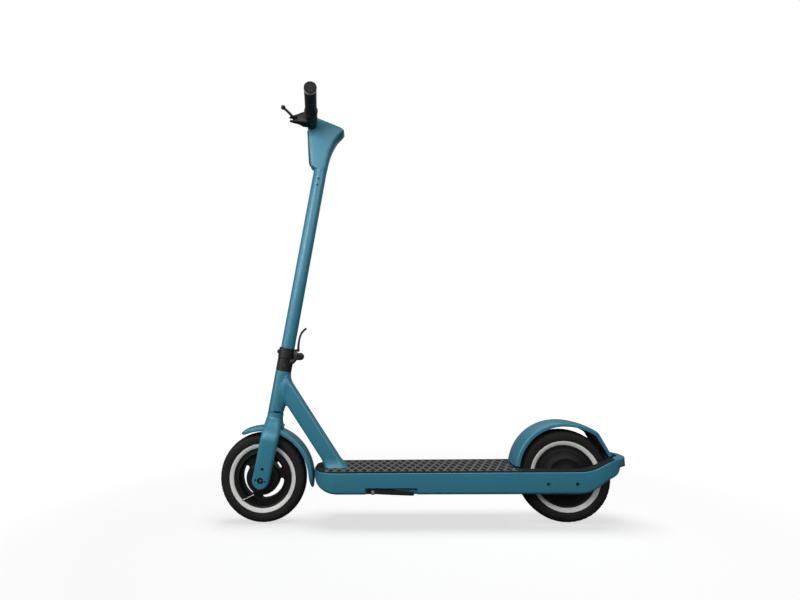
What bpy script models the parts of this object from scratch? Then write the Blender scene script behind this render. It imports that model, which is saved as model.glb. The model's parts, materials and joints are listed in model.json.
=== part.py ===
"""Folding electric scooter on ten-inch wheels, modelled as its separate pieces.

Units are metres. Z is up, the front of the scooter points to -X and its left side to -Y.
Pieces that steer or fold are drawn in stem coordinates: the front axle is their origin,
their Z runs up the steering axis and their X points back towards the rider.
"""

from math import asin, atan2, cos, degrees, pi, radians, sin, sqrt, tan

import bmesh
import bpy
from mathutils import Matrix, Vector

# Fits
GAP = 0.0003
RUNNING_GAP = 0.0008

# Wheels
WHEELBASE = 0.858
FRONT_AXLE_X = -0.4486
WHEEL_RADIUS = 0.127
TYRE_HALF_WIDTH = 0.027
TREAD_HALF_WIDTH = 0.011
TYRE_WALL = 0.0048
SEAT_RADIUS = 0.0762
FLANGE_RADIUS = 0.084
RIM_HALF_WIDTH = 0.0225
WHEEL_STEPS = 28
AXLE_RADIUS = 0.006
DRUM_RADIUS = 0.048
DRUM_HALF_WIDTH = 0.031
BRAKE_RADIUS = 0.0425
BRAKE_ANCHOR_PLACE = 0.0375
BRAKE_ANCHOR_RADIUS = 0.0040
BRAKE_CAM_PLACE = 0.0360
BRAKE_CAM_RADIUS = 0.0032
SLOT_INNER_RADIUS = 0.0485
SLOT_OUTER_RADIUS = 0.0615
SLOT_ANGLES = (-38.5, 81.5, 201.5)
SLOT_SPAN = 92
BEARING_RADIUS = 0.014
BEARING_WIDTH = 0.008
MOTOR_COVER_RADIUS = 0.0742

# Deck
DECK_NOSE_X = -0.2975
DECK_NOSE_LENGTH = 0.070
DECK_HALF_WIDTH = 0.083
DECK_TOP_RISE = 0.0245
DECK_THICKNESS = 0.0583
NOSE_RISE = 0.040
TAIL_START_X = 0.4395
TAIL_END_X = 0.5755
TAIL_CLIMB = 0.0293
TAIL_THICKNESS = 0.0248
TAIL_RISE_LENGTH = 0.1050
TAIL_LIGHT_X = 0.5655
TAIL_LIGHT_HALF_WIDTH = 0.0500
TAIL_LIGHT_SILL = 0.0020
TAIL_LIGHT_BROW = 0.0040
WHEEL_SLOT_HALF_WIDTH = 0.050
WHEEL_SLOT_MARGIN = 0.012
MAT_THICKNESS = 0.003
MAT_EDGE = 0.0018
MAT_REAR_X = 0.5270
BAY_FRONT_X = -0.215
BAY_REAR_X = 0.255
BAY_HALF_WIDTH = 0.066
BAY_ROOF_DROP = 0.0055
COVER_THICKNESS = 0.003
BATTERY_LENGTH = 0.300
CONTROLLER_LENGTH = 0.120
DROPOUT_THICKNESS = 0.005
DROPOUT_BOLT_BACK = 0.0200
DROPOUT_BOLT_FRONT = -0.0590
DROPOUT_BOLT_RADIUS = 0.0030
SIDE_SCREW_PLACES = (-0.0674, 0.0089)
SIDE_SCREW_DROP = 0.0064
SIDE_SCREW_RADIUS = 0.0046
SIDE_SCREW_DEPTH = 0.0060
CHARGE_PORT_X = -0.165
CHARGE_PORT_DROP = 0.0275
CHARGE_HINGE_RISE = 0.0125
CHARGE_HINGE_OUT = 0.0014

# Neck and steering
LEAN = radians(11.07)
NECK_RADIUS = 0.0237
NECK_BOTTOM = 0.1885
NECK_TOP = 0.3120
STEERER_RADIUS = 0.0150
HEADSET_RADIUS = 0.0205
HEADSET_WIDTH = 0.007
STOP_HEIGHT = 0.0047
STOP_CUT_HALF_ANGLE = 98
STOP_LUG_HALF_ANGLE = 50
DOWN_TUBE_HALF_WIDTH = 0.0235
DOWN_TUBE_FRONT_X = -0.2602
DOWN_TUBE_FRONT_SLOPE = 0.6523
DOWN_TUBE_REAR_X = -0.2058
DOWN_TUBE_REAR_SLOPE = 0.6377
DOWN_TUBE_WALL = 0.0040
DOWN_TUBE_RISE = 0.2605
DOWN_TUBE_CROWN = 0.0320
FOOT_HALF_WIDTH = 0.0310
FOOT_FRONT_FLARE = 0.0080
FOOT_REAR_FLARE = 0.0068
FOOT_FLARE_HEIGHT = 0.030
DOWN_TUBE_CORNER = 0.0105
FOOT_CORNER_GROWTH = 0.006

# Fork and front fender
FORK_HALF_WIDTH = 0.060
FORK_SLOT_HALF_WIDTH = 0.038
FORK_END_RADIUS = 0.0245
FORK_ARCH_TOP = 0.158
FORK_HOLE_HEIGHT = 0.0325
FORK_HOLE_RADIUS = 0.0042
FORK_SMALL_HOLE_BACK = 0.0140
FORK_SMALL_HOLE_RADIUS = 0.0030
AXLE_NUT_ACROSS = 0.0085
AXLE_NUT_THICKNESS = 0.007
FENDER_CLEARANCE = 0.0198
FENDER_REAR_LIFT = 0.0030
FENDER_DEPTH = 0.0138
FENDER_HALF_WIDTH = 0.0335
FENDER_WALL = 0.0022
FENDER_END_SHARE = 0.30
FENDER_FRONT_ANGLE = 117
FENDER_REAR_ANGLE = -11

# Rear fender
REAR_FENDER_CLEARANCE = 0.0170
REAR_FENDER_RAISE = 0.0080
REAR_FENDER_SWELL = 0.0115
REAR_FENDER_DEPTH = 0.0137
REAR_FENDER_FOOT_DEPTH = 0.0112
REAR_FENDER_HALF_WIDTH = 0.0405
REAR_FENDER_WALL = 0.0026
REAR_FENDER_START = 170
REAR_FENDER_BEND = 49.5
REAR_FENDER_FOOT_BACK = 0.0960
REAR_FENDER_FOOT_RISE = 0.0064
STAY_HALF_WIDTH = 0.0190
STAY_CLEARANCE = 0.0008
STAY_THICKNESS = 0.0030
STAY_LENGTH = 0.0300
STAY_FOOT_BACK = 0.1150

# Folding joint, in stem coordinates
HINGE_SPLIT = 0.3500
HINGE_TOP = 0.3815
HINGE_RADIUS = 0.0247
FOLD_PIN_BACK = 0.0405
FOLD_PIN_HEIGHT = 0.3625
FOLD_PIN_RADIUS = 0.0040
LUG_RADIUS = 0.0113
KNUCKLE_HALF_WIDTH = 0.0097
EAR_OUTER = 0.0205
LEVER_PIN_BACK = 0.0320
LEVER_PIN_HEIGHT = 0.3800
LEVER_PIN_RADIUS = 0.0020
LEVER_HUB_RADIUS = 0.0043
LEVER_HALF_WIDTH = 0.0060

# Stem and head, in stem coordinates
TUBE_RADIUS = 0.0207
TUBE_WALL = 0.0027
HEAD_DROP = 0.1423
SPIGOT_LENGTH = 0.055
HEAD_WALL = 0.0030
HEADLIGHT_DROP = 0.0578
HEADLIGHT_HOLE_RADIUS = 0.0112
HEAD_TOP_RISE = 0.0128
HEAD_TOP_SLOPE = 0.263
DISPLAY_THICKNESS = 0.0025
DISPLAY_HALF_WIDTH = 0.0265
STEM_SCREW_DROPS = (0.0449, 0.0250)
STEM_SCREW_BACK = 0.0012
STEM_SCREW_RADIUS = 0.0033

# Handlebar
BAR_BACK = -0.0495
BAR_HEIGHT = 1.0815
BAR_RADIUS = 0.0125
BAR_BORE = 0.0105
BAR_SWEEP = radians(5.3)
BAR_BEND_START = 0.034
BAR_BEND_RADIUS = 0.090
BAR_ARM_LENGTH = 0.198
BAR_STEPS = 16
GRIP_RADIUS = 0.0176
GRIP_LENGTH = 0.129
GRIP_FLANGE_RADIUS = 0.0205
GRIP_END_THICKNESS = 0.0055
GRIP_STEPS = 18
BRAKE_DROP = radians(24)
BRAKE_PIVOT_FORWARD = 0.0500
BRAKE_PIVOT_ALONG = 0.030
BRAKE_TIP_FORWARD = 0.0665
BRAKE_PIN_RADIUS = 0.0030
BRAKE_CLAMP_END = 0.0410
BRAKE_SLOT_HALF = 0.0046
BRAKE_BALL_FORWARD = 0.0300
BRAKE_BALL_ALONG = 0.0760

# Kickstand
STAND_PIVOT_X = -0.1305
STAND_PIVOT_Y = -0.0790
STAND_PIVOT_Z = 0.1027
STAND_LENGTH = 0.112
STAND_PIN_RADIUS = 0.0035
STAND_WALL_Y = -0.0708

# Positions worked out from the sizes above
DECK_TOP = WHEEL_RADIUS + DECK_TOP_RISE
DECK_BOTTOM = DECK_TOP - DECK_THICKNESS
TAIL_TOP = DECK_TOP + TAIL_CLIMB
TAIL_BOTTOM = TAIL_TOP - TAIL_THICKNESS
BAY_ROOF = DECK_TOP - BAY_ROOF_DROP
CHARGE_PORT_Z = DECK_TOP - CHARGE_PORT_DROP
DOWN_TUBE_TOP = DECK_TOP + DOWN_TUBE_RISE
FENDER_RADIUS = WHEEL_RADIUS + FENDER_CLEARANCE
REAR_FENDER_RADIUS = WHEEL_RADIUS + REAR_FENDER_CLEARANCE
TUBE_TOP = BAR_HEIGHT - HEAD_DROP
HEADLIGHT_HEIGHT = BAR_HEIGHT - HEADLIGHT_DROP
HEAD_TOP_AT_AXIS = BAR_HEIGHT + HEAD_TOP_RISE
REAR_AXLE_X = FRONT_AXLE_X + WHEELBASE
WHEEL_SLOT_FRONT = REAR_AXLE_X - WHEEL_RADIUS - WHEEL_SLOT_MARGIN
WHEEL_SLOT_REAR = REAR_AXLE_X + WHEEL_RADIUS + WHEEL_SLOT_MARGIN - 0.002
STEM_FRAME = Matrix.Translation((FRONT_AXLE_X, 0, WHEEL_RADIUS)) @ Matrix.Rotation(LEAN, 4, "Y")
WORLD_IN_STEM = STEM_FRAME.inverted()

# Finishes: colour, roughness, metallic
TEAL = ((0.030, 0.150, 0.190), 0.38, 0.35)
BLACK_METAL = ((0.018, 0.018, 0.019), 0.40, 0.6)
BLACK_PLASTIC = ((0.020, 0.020, 0.021), 0.50, 0.0)
RUBBER = ((0.022, 0.022, 0.023), 0.80, 0.0)
MAT_RUBBER = ((0.050, 0.050, 0.052), 0.90, 0.0)
STEEL = ((0.550, 0.550, 0.560), 0.30, 1.0)
COPPER = ((0.450, 0.190, 0.090), 0.40, 1.0)
WRAP = ((0.040, 0.120, 0.300), 0.50, 0.0)
RED_LENS = ((0.250, 0.010, 0.010), 0.15, 0.0)
CLEAR_LENS = ((0.800, 0.820, 0.850), 0.08, 0.0)
GLOSS_BLACK = ((0.010, 0.010, 0.012), 0.08, 0.0)


# Scene and object helpers

def clear_scene():
    for thing in list(bpy.data.objects):
        bpy.data.objects.remove(thing, do_unlink=True)


def finish_material(name, finish):
    colour, roughness, metallic = finish
    material = bpy.data.materials.new(name + "_finish")
    material.use_nodes = True
    shader = material.node_tree.nodes["Principled BSDF"]
    shader.inputs["Base Color"].default_value = (*colour, 1.0)
    shader.inputs["Roughness"].default_value = roughness
    shader.inputs["Metallic"].default_value = metallic
    material.diffuse_color = (*colour, 1.0)
    return material


def link(obj):
    bpy.context.scene.collection.objects.link(obj)
    return obj


def make_empty(name, parent, matrix):
    empty = link(bpy.data.objects.new(name, None))
    empty.empty_display_size = 0.05
    empty.parent = parent
    empty.matrix_local = matrix
    return empty


def make_part(name, bm, finish, parent=None, origin=(0, 0, 0), drawn_in=None):
    """Makes an object from a mesh. The mesh and the origin are in the drawing's own coordinates, and drawn_in is
    the matrix from those to the parent's coordinates."""
    mesh = bpy.data.meshes.new(name)
    bmesh.ops.translate(bm, vec=-Vector(origin), verts=bm.verts)
    bm.to_mesh(mesh)
    bm.free()
    mesh.shade_smooth()
    mesh.set_sharp_from_angle(angle=radians(32))
    obj = link(bpy.data.objects.new(name, mesh))
    obj.parent = parent
    obj.matrix_local = (drawn_in or Matrix()) @ Matrix.Translation(origin)
    if finish:
        mesh.materials.append(finish_material(name, finish))
    return obj


def shape_with(obj, bm, operation="DIFFERENCE", solver="EXACT"):
    """Adds a Boolean modifier. The tool's mesh is in the same drawing coordinates as the part was."""
    mesh = bpy.data.meshes.new(obj.name + "_tool")
    origin = obj.get("drawing_origin", (0.0, 0.0, 0.0))
    bmesh.ops.translate(bm, vec=-Vector(origin), verts=bm.verts)
    bm.to_mesh(mesh)
    bm.free()
    tool = link(bpy.data.objects.new(mesh.name, mesh))
    tool.parent = obj
    tool.hide_render = True
    tool.display_type = "WIRE"
    modifier = obj.modifiers.new(mesh.name, "BOOLEAN")
    modifier.operation = operation
    modifier.object = tool
    modifier.solver = solver


def part(name, bm, finish, parent=None, origin=(0, 0, 0), drawn_in=None, cuts=(), joins=(), manifold_cuts=()):
    """Makes a part with its Booleans. The manifold cuts are those that the exact solver leaves open."""
    obj = make_part(name, bm, finish, parent, origin, drawn_in)
    obj["drawing_origin"] = tuple(origin)
    for tool in joins:
        shape_with(obj, tool, "UNION")
    for tool in cuts:
        shape_with(obj, tool)
    for tool in manifold_cuts:
        shape_with(obj, tool, solver="MANIFOLD")
    return obj


# Mesh helpers

def closed_loft(loops, ring=False):
    """Skins loops of equal length one after another and caps the ends, or joins the last to the first."""
    bm = bmesh.new()
    rows = [[bm.verts.new(point) for point in loop] for loop in loops]
    pairs = list(zip(rows, rows[1:]))
    if ring:
        pairs.append((rows[-1], rows[0]))
    for lower, upper in pairs:
        count = len(lower)
        for k in range(count):
            after = (k + 1) % count
            bm.faces.new((lower[k], lower[after], upper[after], upper[k]))
    if not ring:
        bm.faces.new(rows[0])
        bm.faces.new(rows[-1])
    bmesh.ops.recalc_face_normals(bm, faces=bm.faces)
    return bm


def rounded_box_loop(low, high, radii, corner_steps=4):
    """Points of a rectangle with rounded corners. radii run from the low-low corner, counterclockwise."""
    (a0, b0), (a1, b1) = low, high
    most = 0.499 * min(a1 - a0, b1 - b0)
    corners = ((a0, b0, 180), (a1, b0, 270), (a1, b1, 0), (a0, b1, 90))
    points = []
    for (a, b, start), radius in zip(corners, radii):
        r = min(radius, most)
        centre_a = a + r if a == a0 else a - r
        centre_b = b + r if b == b0 else b - r
        for k in range(corner_steps + 1):
            angle = radians(start + 90 * k / corner_steps)
            points.append((centre_a + r * cos(angle), centre_b + r * sin(angle)))
    return points


def arc_points(centre, radius, start, end, steps):
    """Points of an arc in a plane, with its angles in degrees."""
    points = []
    for k in range(steps + 1):
        angle = radians(start + (end - start) * k / steps)
        points.append((centre[0] + radius * cos(angle), centre[1] + radius * sin(angle)))
    return points


def prism_y(outline, low, high):
    """Extrudes an outline of (x, z) points from y = low to y = high."""
    return closed_loft([[(x, y, z) for x, z in outline] for y in (low, high)])


def prism_z(outline, low, high):
    return closed_loft([[(x, y, z) for x, y in outline] for z in (low, high)])


def prism_x(outline, low, high):
    return closed_loft([[(x, y, z) for y, z in outline] for x in (low, high)])


def box(low, high):
    (x0, y0, z0), (x1, y1, z1) = low, high
    return prism_z([(x0, y0), (x1, y0), (x1, y1), (x0, y1)], z0, z1)


def soft_box(low, high, radius, axis="Z", corner_steps=3):
    """A box whose edges along one axis are rounded."""
    (x0, y0, z0), (x1, y1, z1) = low, high
    radii = (radius,) * 4
    if axis == "Z":
        return prism_z(rounded_box_loop((x0, y0), (x1, y1), radii, corner_steps), z0, z1)
    if axis == "Y":
        return prism_y(rounded_box_loop((x0, z0), (x1, z1), radii, corner_steps), y0, y1)
    return prism_x(rounded_box_loop((y0, z0), (y1, z1), radii, corner_steps), x0, x1)


def lathe(profile, axis, centre=(0, 0, 0), steps=24, start=0.0):
    """Turns a closed profile of (radius, height along the axis). Points at radius 0 become poles."""
    bm = bmesh.new()
    rows = []
    for radius, height in profile:
        count = 1 if radius < 1e-9 else steps
        row = []
        for k in range(count):
            angle = start + 2 * pi * k / steps
            across = (radius * cos(angle), radius * sin(angle))
            point = {
                "X": (height, across[0], across[1]),
                "Y": (across[0], height, across[1]),
                "Z": (across[0], across[1], height),
            }[axis]
            row.append(bm.verts.new(Vector(point) + Vector(centre)))
        rows.append(row)
    for a, b in zip(rows, rows[1:] + rows[:1]):
        if len(a) == 1 and len(b) == 1:
            continue
        for k in range(steps):
            after = (k + 1) % steps
            if len(a) == 1:
                bm.faces.new((a[0], b[after], b[k]))
            elif len(b) == 1:
                bm.faces.new((a[k], a[after], b[0]))
            else:
                bm.faces.new((a[k], a[after], b[after], b[k]))
    bmesh.ops.recalc_face_normals(bm, faces=bm.faces)
    return bm


def disc(radius, low, high, axis, centre=(0, 0, 0), steps=24):
    return lathe([(0, low), (radius, low), (radius, high), (0, high)], axis, centre, steps)


def tube_ring(inner, outer, low, high, axis, centre=(0, 0, 0), steps=24):
    profile = [(inner, low), (outer, low), (outer, high), (inner, high)]
    return lathe(profile, axis, centre, steps)


def hex_nut(bore, across, low, high, centre=(0, 0, 0)):
    """A six-sided nut on the Y axis with a round hole. across is from its middle to a flat."""
    steps = 12
    loops = []
    hole = bore / cos(pi / steps)
    for outer, y in ((False, low), (True, low), (True, high), (False, high)):
        loop = []
        for k in range(steps):
            angle = 2 * pi * k / steps
            radius = across / cos(pi / 6) if k % 2 else across
            radius = radius if outer else hole
            loop.append((centre[0] + radius * cos(angle), centre[1] + y, centre[2] + radius * sin(angle)))
        loops.append(loop)
    return closed_loft(loops, ring=True)


def moved(bm, matrix):
    bmesh.ops.transform(bm, matrix=matrix, verts=bm.verts)
    return bm


def sliced(bm, point, normal):
    """Cuts away what lies on the normal's side of a plane and closes the cut."""
    geometry = bm.verts[:] + bm.edges[:] + bm.faces[:]
    result = bmesh.ops.bisect_plane(bm, geom=geometry, plane_co=point, plane_no=normal, clear_outer=True)
    edges = [item for item in result["geom_cut"] if isinstance(item, bmesh.types.BMEdge)]
    bmesh.ops.contextual_create(bm, geom=edges)
    bmesh.ops.recalc_face_normals(bm, faces=bm.faces)
    return bm


def mixed(table, where):
    """Reads a table of rows by its first column, with straight lines between the rows."""
    if where <= table[0][0]:
        return table[0][1:]
    for low, high in zip(table, table[1:]):
        if where <= high[0]:
            share = (where - low[0]) / (high[0] - low[0])
            return tuple(a + share * (b - a) for a, b in zip(low[1:], high[1:]))
    return table[-1][1:]


# Wheels

def tyre_mesh(centre):
    crown = WHEEL_RADIUS
    wide = TYRE_HALF_WIDTH
    wall = TYRE_WALL
    bead = SEAT_RADIUS + GAP
    side = RIM_HALF_WIDTH - 0.003
    half = [
        (crown, TREAD_HALF_WIDTH),
        (crown - 0.0040, TREAD_HALF_WIDTH + 0.0090),
        (crown - 0.0140, wide - 0.0010),
        (bead + 0.0200, wide - 0.0022),
        (bead + 0.0085, side),
        (bead, side),
        (bead, side - 0.0055),
        (crown - 0.0130, wide - wall - 0.0040),
    ]
    return lathe(half + [(r, -y) for r, y in reversed(half)], "Y", centre, WHEEL_STEPS, pi / 2)


def rim_half_profile():
    """The outside of a rim for one side, from the tyre's seat to the outer edge."""
    return [
        (SEAT_RADIUS, RIM_HALF_WIDTH - 0.0027),
        (FLANGE_RADIUS, RIM_HALF_WIDTH - 0.0027),
        (FLANGE_RADIUS, RIM_HALF_WIDTH),
    ]


def arc_slot(inner, outer, middle, span, low, high, centre):
    """A curved slot's cutter: part of a ring, with its angles in degrees."""
    half = span / 2
    outline = arc_points(centre, outer, middle - half, middle + half, 6)
    width = degrees((outer - inner) / 2 / inner)
    outline += arc_points(centre, inner, middle + half - width / 2, middle - half + width / 2, 6)
    return prism_y(outline, low, high)


def make_front_wheel(spin):
    hub_bore = AXLE_RADIUS + 2 * RUNNING_GAP
    seat = BEARING_RADIUS + GAP
    outside = rim_half_profile()
    left = [(r, -y) for r, y in outside]
    right = list(outside)
    left_face = [
        (0.0700, -RIM_HALF_WIDTH),
        (0.0672, -0.0125),
        (DRUM_RADIUS + 0.001, -0.0105),
        (DRUM_RADIUS - 0.002, -DRUM_HALF_WIDTH),
        (seat, -DRUM_HALF_WIDTH),
        (seat, -DRUM_HALF_WIDTH + BEARING_WIDTH + GAP),
        (hub_bore, -DRUM_HALF_WIDTH + BEARING_WIDTH + GAP),
    ]
    drum_floor = -0.0060
    right_face = [
        (0.0700, RIM_HALF_WIDTH),
        (0.0672, 0.0125),
        (DRUM_RADIUS + 0.001, 0.0105),
        (DRUM_RADIUS - 0.001, DRUM_HALF_WIDTH - 0.006),
        (BRAKE_RADIUS + RUNNING_GAP, DRUM_HALF_WIDTH - 0.006),
        (BRAKE_RADIUS + RUNNING_GAP, drum_floor),
        (BEARING_RADIUS + 0.0050, drum_floor),
        (BEARING_RADIUS + 0.0035, 0.0150),
        (seat, 0.0150),
        (seat, 0.0150 - BEARING_WIDTH - GAP),
        (hub_bore, 0.0150 - BEARING_WIDTH - GAP),
    ]
    profile = list(reversed(left)) + right + right_face + list(reversed(left_face))
    slots = [
        arc_slot(SLOT_INNER_RADIUS, SLOT_OUTER_RADIUS, angle, SLOT_SPAN, -0.02, 0.02, (0, 0))
        for angle in SLOT_ANGLES
    ]
    part("front_wheel", lathe(profile, "Y", steps=WHEEL_STEPS, start=pi / 2), BLACK_METAL, spin, cuts=slots)
    part("front_tyre", tyre_mesh((0, 0, 0)), RUBBER, spin)
    inner = (AXLE_RADIUS + GAP) / cos(pi / 18)
    for name, low in (("front_bearing_left", -DRUM_HALF_WIDTH), ("front_bearing_right", 0.0150 - BEARING_WIDTH)):
        ring = tube_ring(inner, BEARING_RADIUS, low, low + BEARING_WIDTH, "Y", steps=18)
        part(name, ring, STEEL, spin)


def make_front_axle(steer):
    end = FORK_HALF_WIDTH - 0.004
    shaft = disc(AXLE_RADIUS, -end, end, "Y", steps=20)
    part("front_axle", shaft, STEEL, steer)
    outer = FORK_HALF_WIDTH - 0.0045
    inner = outer - AXLE_NUT_THICKNESS
    for name, side in (("front_axle_nut_left", -1), ("front_axle_nut_right", 1)):
        low, high = sorted((side * inner, side * outer))
        part(name, hex_nut(AXLE_RADIUS + GAP, AXLE_NUT_ACROSS, low, high), BLACK_METAL, steer)


def brake_shoe_outline(upper):
    """An arc of brake lining whose ends lie against the cam and the anchor pin."""
    at_cam = degrees(asin((BRAKE_CAM_RADIUS + GAP) / BRAKE_CAM_PLACE))
    at_anchor = degrees(asin((BRAKE_ANCHOR_RADIUS + GAP) / BRAKE_ANCHOR_PLACE))
    start, end = (at_cam, 180 - at_anchor) if upper else (at_anchor - 180, -at_cam)
    outer = BRAKE_RADIUS - RUNNING_GAP
    inner = outer - 0.0065
    return arc_points((0, 0), outer, start, end, 12) + arc_points((0, 0), inner, end, start, 12)


def make_drum_brake(steer):
    plate_in = DRUM_HALF_WIDTH - 0.0050
    plate_out = FORK_SLOT_HALF_WIDTH - 0.0040
    plate = tube_ring(AXLE_RADIUS + GAP, BRAKE_RADIUS - RUNNING_GAP, plate_in, plate_in + 0.003, "Y", steps=24)
    spacer = tube_ring(AXLE_RADIUS + GAP, 0.0110, 0.0150 + RUNNING_GAP, FORK_SLOT_HALF_WIDTH - GAP, "Y", steps=12)
    anchor_at = (-BRAKE_ANCHOR_PLACE, 0.0, 0.0)
    cam = (BRAKE_CAM_PLACE, 0.0, 0.0)
    anchor = disc(BRAKE_ANCHOR_RADIUS, 0.0030, plate_in + 0.001, "Y", anchor_at, 12)
    cam_hole = disc(BRAKE_CAM_RADIUS + GAP, plate_in - 0.01, plate_out + 0.02, "Y", cam, 12)
    part("brake_plate", plate, BLACK_METAL, steer, joins=[spacer, anchor], cuts=[cam_hole])
    for name, upper in (("brake_shoe_upper", True), ("brake_shoe_lower", False)):
        shoe = prism_y(brake_shoe_outline(upper), 0.0035, plate_in - RUNNING_GAP)
        part(name, shoe, STEEL, steer, origin=anchor_at)
    shaft = disc(BRAKE_CAM_RADIUS, 0.0040, plate_out - 0.0005, "Y", cam, 12)
    low = plate_in + 0.003 + RUNNING_GAP
    outline = [(cam[0] - 0.0055, -0.0045), (cam[0] + 0.0055, -0.0045), (cam[0] + 0.0040, 0.0260), (cam[0] - 0.0020, 0.0260)]
    arm = prism_y(outline, low, low + 0.0028)
    part("brake_arm", shaft, STEEL, steer, origin=cam, joins=[arm])


def make_rear_wheel(spin):
    outside = rim_half_profile()
    well = 0.0655
    face = 0.0195
    half = outside + [(MOTOR_COVER_RADIUS + GAP, RIM_HALF_WIDTH), (MOTOR_COVER_RADIUS + GAP, face), (well, face)]
    profile = half + [(r, -y) for r, y in reversed(half)]
    part("motor_rotor", lathe(profile, "Y", steps=WHEEL_STEPS, start=pi / 2), BLACK_METAL, spin)
    part("rear_tyre", tyre_mesh((0, 0, 0)), RUBBER, spin)
    bore = AXLE_RADIUS + GAP
    for name, side in (("motor_cover_left", -1), ("motor_cover_right", 1)):
        outline = [
            (bore, 0.0285),
            (bore, 0.0345),
            (0.0150, 0.0345),
            (0.0165, 0.0310),
            (0.0600, 0.0262),
            (MOTOR_COVER_RADIUS, 0.0240),
            (MOTOR_COVER_RADIUS, face + GAP),
            (0.0580, face + GAP),
        ]
        cover = lathe([(r, side * y) for r, y in outline], "Y", steps=WHEEL_STEPS, start=pi / 2)
        part(name, cover, BLACK_METAL, spin)


def make_rear_axle(chassis):
    centre = (REAR_AXLE_X, 0, WHEEL_RADIUS)
    plate_in = WHEEL_SLOT_HALF_WIDTH - GAP - DROPOUT_THICKNESS
    end = WHEEL_SLOT_HALF_WIDTH + 0.013
    part("rear_axle", disc(AXLE_RADIUS, -end, end, "Y", centre, 20), STEEL, chassis)
    half = 0.0185
    profile = [(AXLE_RADIUS + GAP, -0.0210), (0.0160, -0.0210), (0.0200, -half), (0.0640, -half)]
    profile += [(0.0640, half), (0.0200, half), (0.0160, 0.0210), (AXLE_RADIUS + GAP, 0.0210)]
    part("motor_stator", lathe(profile, "Y", centre, 32), COPPER, chassis)
    nut_bore = AXLE_RADIUS + GAP
    for name, side in (("rear_axle_nut_left", -1), ("rear_axle_nut_right", 1)):
        near = WHEEL_SLOT_HALF_WIDTH
        low, high = sorted((side * near, side * (near + AXLE_NUT_THICKNESS)))
        part(name, hex_nut(nut_bore, AXLE_NUT_ACROSS, low, high, centre), STEEL, chassis)
    for name, side in (("dropout_left", -1), ("dropout_right", 1)):
        low, high = sorted((side * plate_in, side * (plate_in + DROPOUT_THICKNESS)))
        x0 = REAR_AXLE_X + DROPOUT_BOLT_FRONT - 0.011
        x1 = REAR_AXLE_X + DROPOUT_BOLT_BACK + 0.013
        plate = soft_box((x0, low, DECK_BOTTOM + 0.012), (x1, high, DECK_TOP - 0.008), 0.008, "Y")
        cuts = [disc(nut_bore, -0.06, 0.06, "Y", centre, 20)]
        for x, z in dropout_bolts():
            cuts.append(disc(DROPOUT_BOLT_RADIUS, -0.06, 0.06, "Y", (x, 0, z), 12))
        part(name, plate, STEEL, chassis, cuts=cuts)


def dropout_bolts():
    return [(REAR_AXLE_X + back, WHEEL_RADIUS) for back in (DROPOUT_BOLT_FRONT, DROPOUT_BOLT_BACK)]


# Deck

def deck_section(x):
    """Half width, bottom and top of the deck at a place along its length."""
    tail_length = TAIL_END_X - TAIL_START_X
    lift = TAIL_BOTTOM - DECK_BOTTOM
    bottom_rise = [(-0.0170, 0.0), (0.0025, 0.03), (0.0388, 0.28), (0.0627, 0.50), (0.0960, 0.74), (0.1060, 1.0)]
    bottom_rise = [(TAIL_START_X + back, DECK_BOTTOM + lift * share) for back, share in bottom_rise]
    climb = TAIL_TOP - DECK_TOP
    top_rise = [(0.0, 0.0), (0.0230, 0.15), (0.0880, 0.93), (TAIL_RISE_LENGTH, 1.0)]
    top_rise = [(TAIL_START_X + back, DECK_TOP + climb * share) for back, share in top_rise]
    if x < DECK_NOSE_X + DECK_NOSE_LENGTH:
        share = (x - DECK_NOSE_X) / DECK_NOSE_LENGTH
        back = 1 - share
        half = DECK_HALF_WIDTH * (1 - back ** 2.3) ** 0.44
        bottom = DECK_BOTTOM + NOSE_RISE * (1 - sqrt(max(0.0, 1 - back ** 2)))
        return half, bottom, DECK_TOP
    if x <= TAIL_START_X:
        return DECK_HALF_WIDTH, mixed(bottom_rise, x)[0], DECK_TOP
    share = min(1.0, (x - TAIL_START_X) / tail_length)
    half = DECK_HALF_WIDTH * max(0.0, 1 - share ** 2) ** 0.375
    return half, mixed(bottom_rise, x)[0], mixed(top_rise, x)[0]


def deck_stations(front, rear):
    nose = [DECK_NOSE_X + DECK_NOSE_LENGTH * (1 - cos(radians(a))) for a in (12, 24, 38, 54, 72, 90)]
    backs = (-0.017, 0.0, 0.012, 0.023, 0.039, 0.051, 0.063, 0.076, 0.088, 0.096, 0.106, 0.114, 0.122, 0.129)
    tail = [TAIL_START_X + back for back in backs]
    middle = [nose[-1] + 0.1, 0.25]
    inside = [x for x in nose + middle + tail if front < x < rear]
    return [front] + inside + [rear]


def deck_outer_mesh():
    loops = []
    for x in deck_stations(DECK_NOSE_X + 0.0006, TAIL_END_X - 0.0020):
        half, bottom, top = deck_section(x)
        radii = (0.010, 0.010, 0.0022, 0.0022)
        points = rounded_box_loop((-half, bottom), (half, top), radii, 2)
        loops.append([(x, y, z) for y, z in points])
    return closed_loft(loops)


def wheel_slot_outline(margin=0.0):
    low = (WHEEL_SLOT_FRONT - margin, -WHEEL_SLOT_HALF_WIDTH - margin)
    high = (WHEEL_SLOT_REAR + margin, WHEEL_SLOT_HALF_WIDTH + margin)
    return rounded_box_loop(low, high, (0.022, 0.040, 0.040, 0.022), 5)


def foot_outline(grow=0.0):
    """The neck's footprint through the height of the deck's mat."""
    front = min(foot_reach(DECK_TOP)[0], foot_reach(DECK_TOP + GAP + MAT_THICKNESS)[0])
    rear = foot_reach(DECK_TOP)[1]
    low = (front - grow, -FOOT_HALF_WIDTH - grow)
    high = (rear + grow, FOOT_HALF_WIDTH + grow)
    return rounded_box_loop(low, high, (DOWN_TUBE_CORNER + FOOT_CORNER_GROWTH + grow,) * 4, 4)


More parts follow.
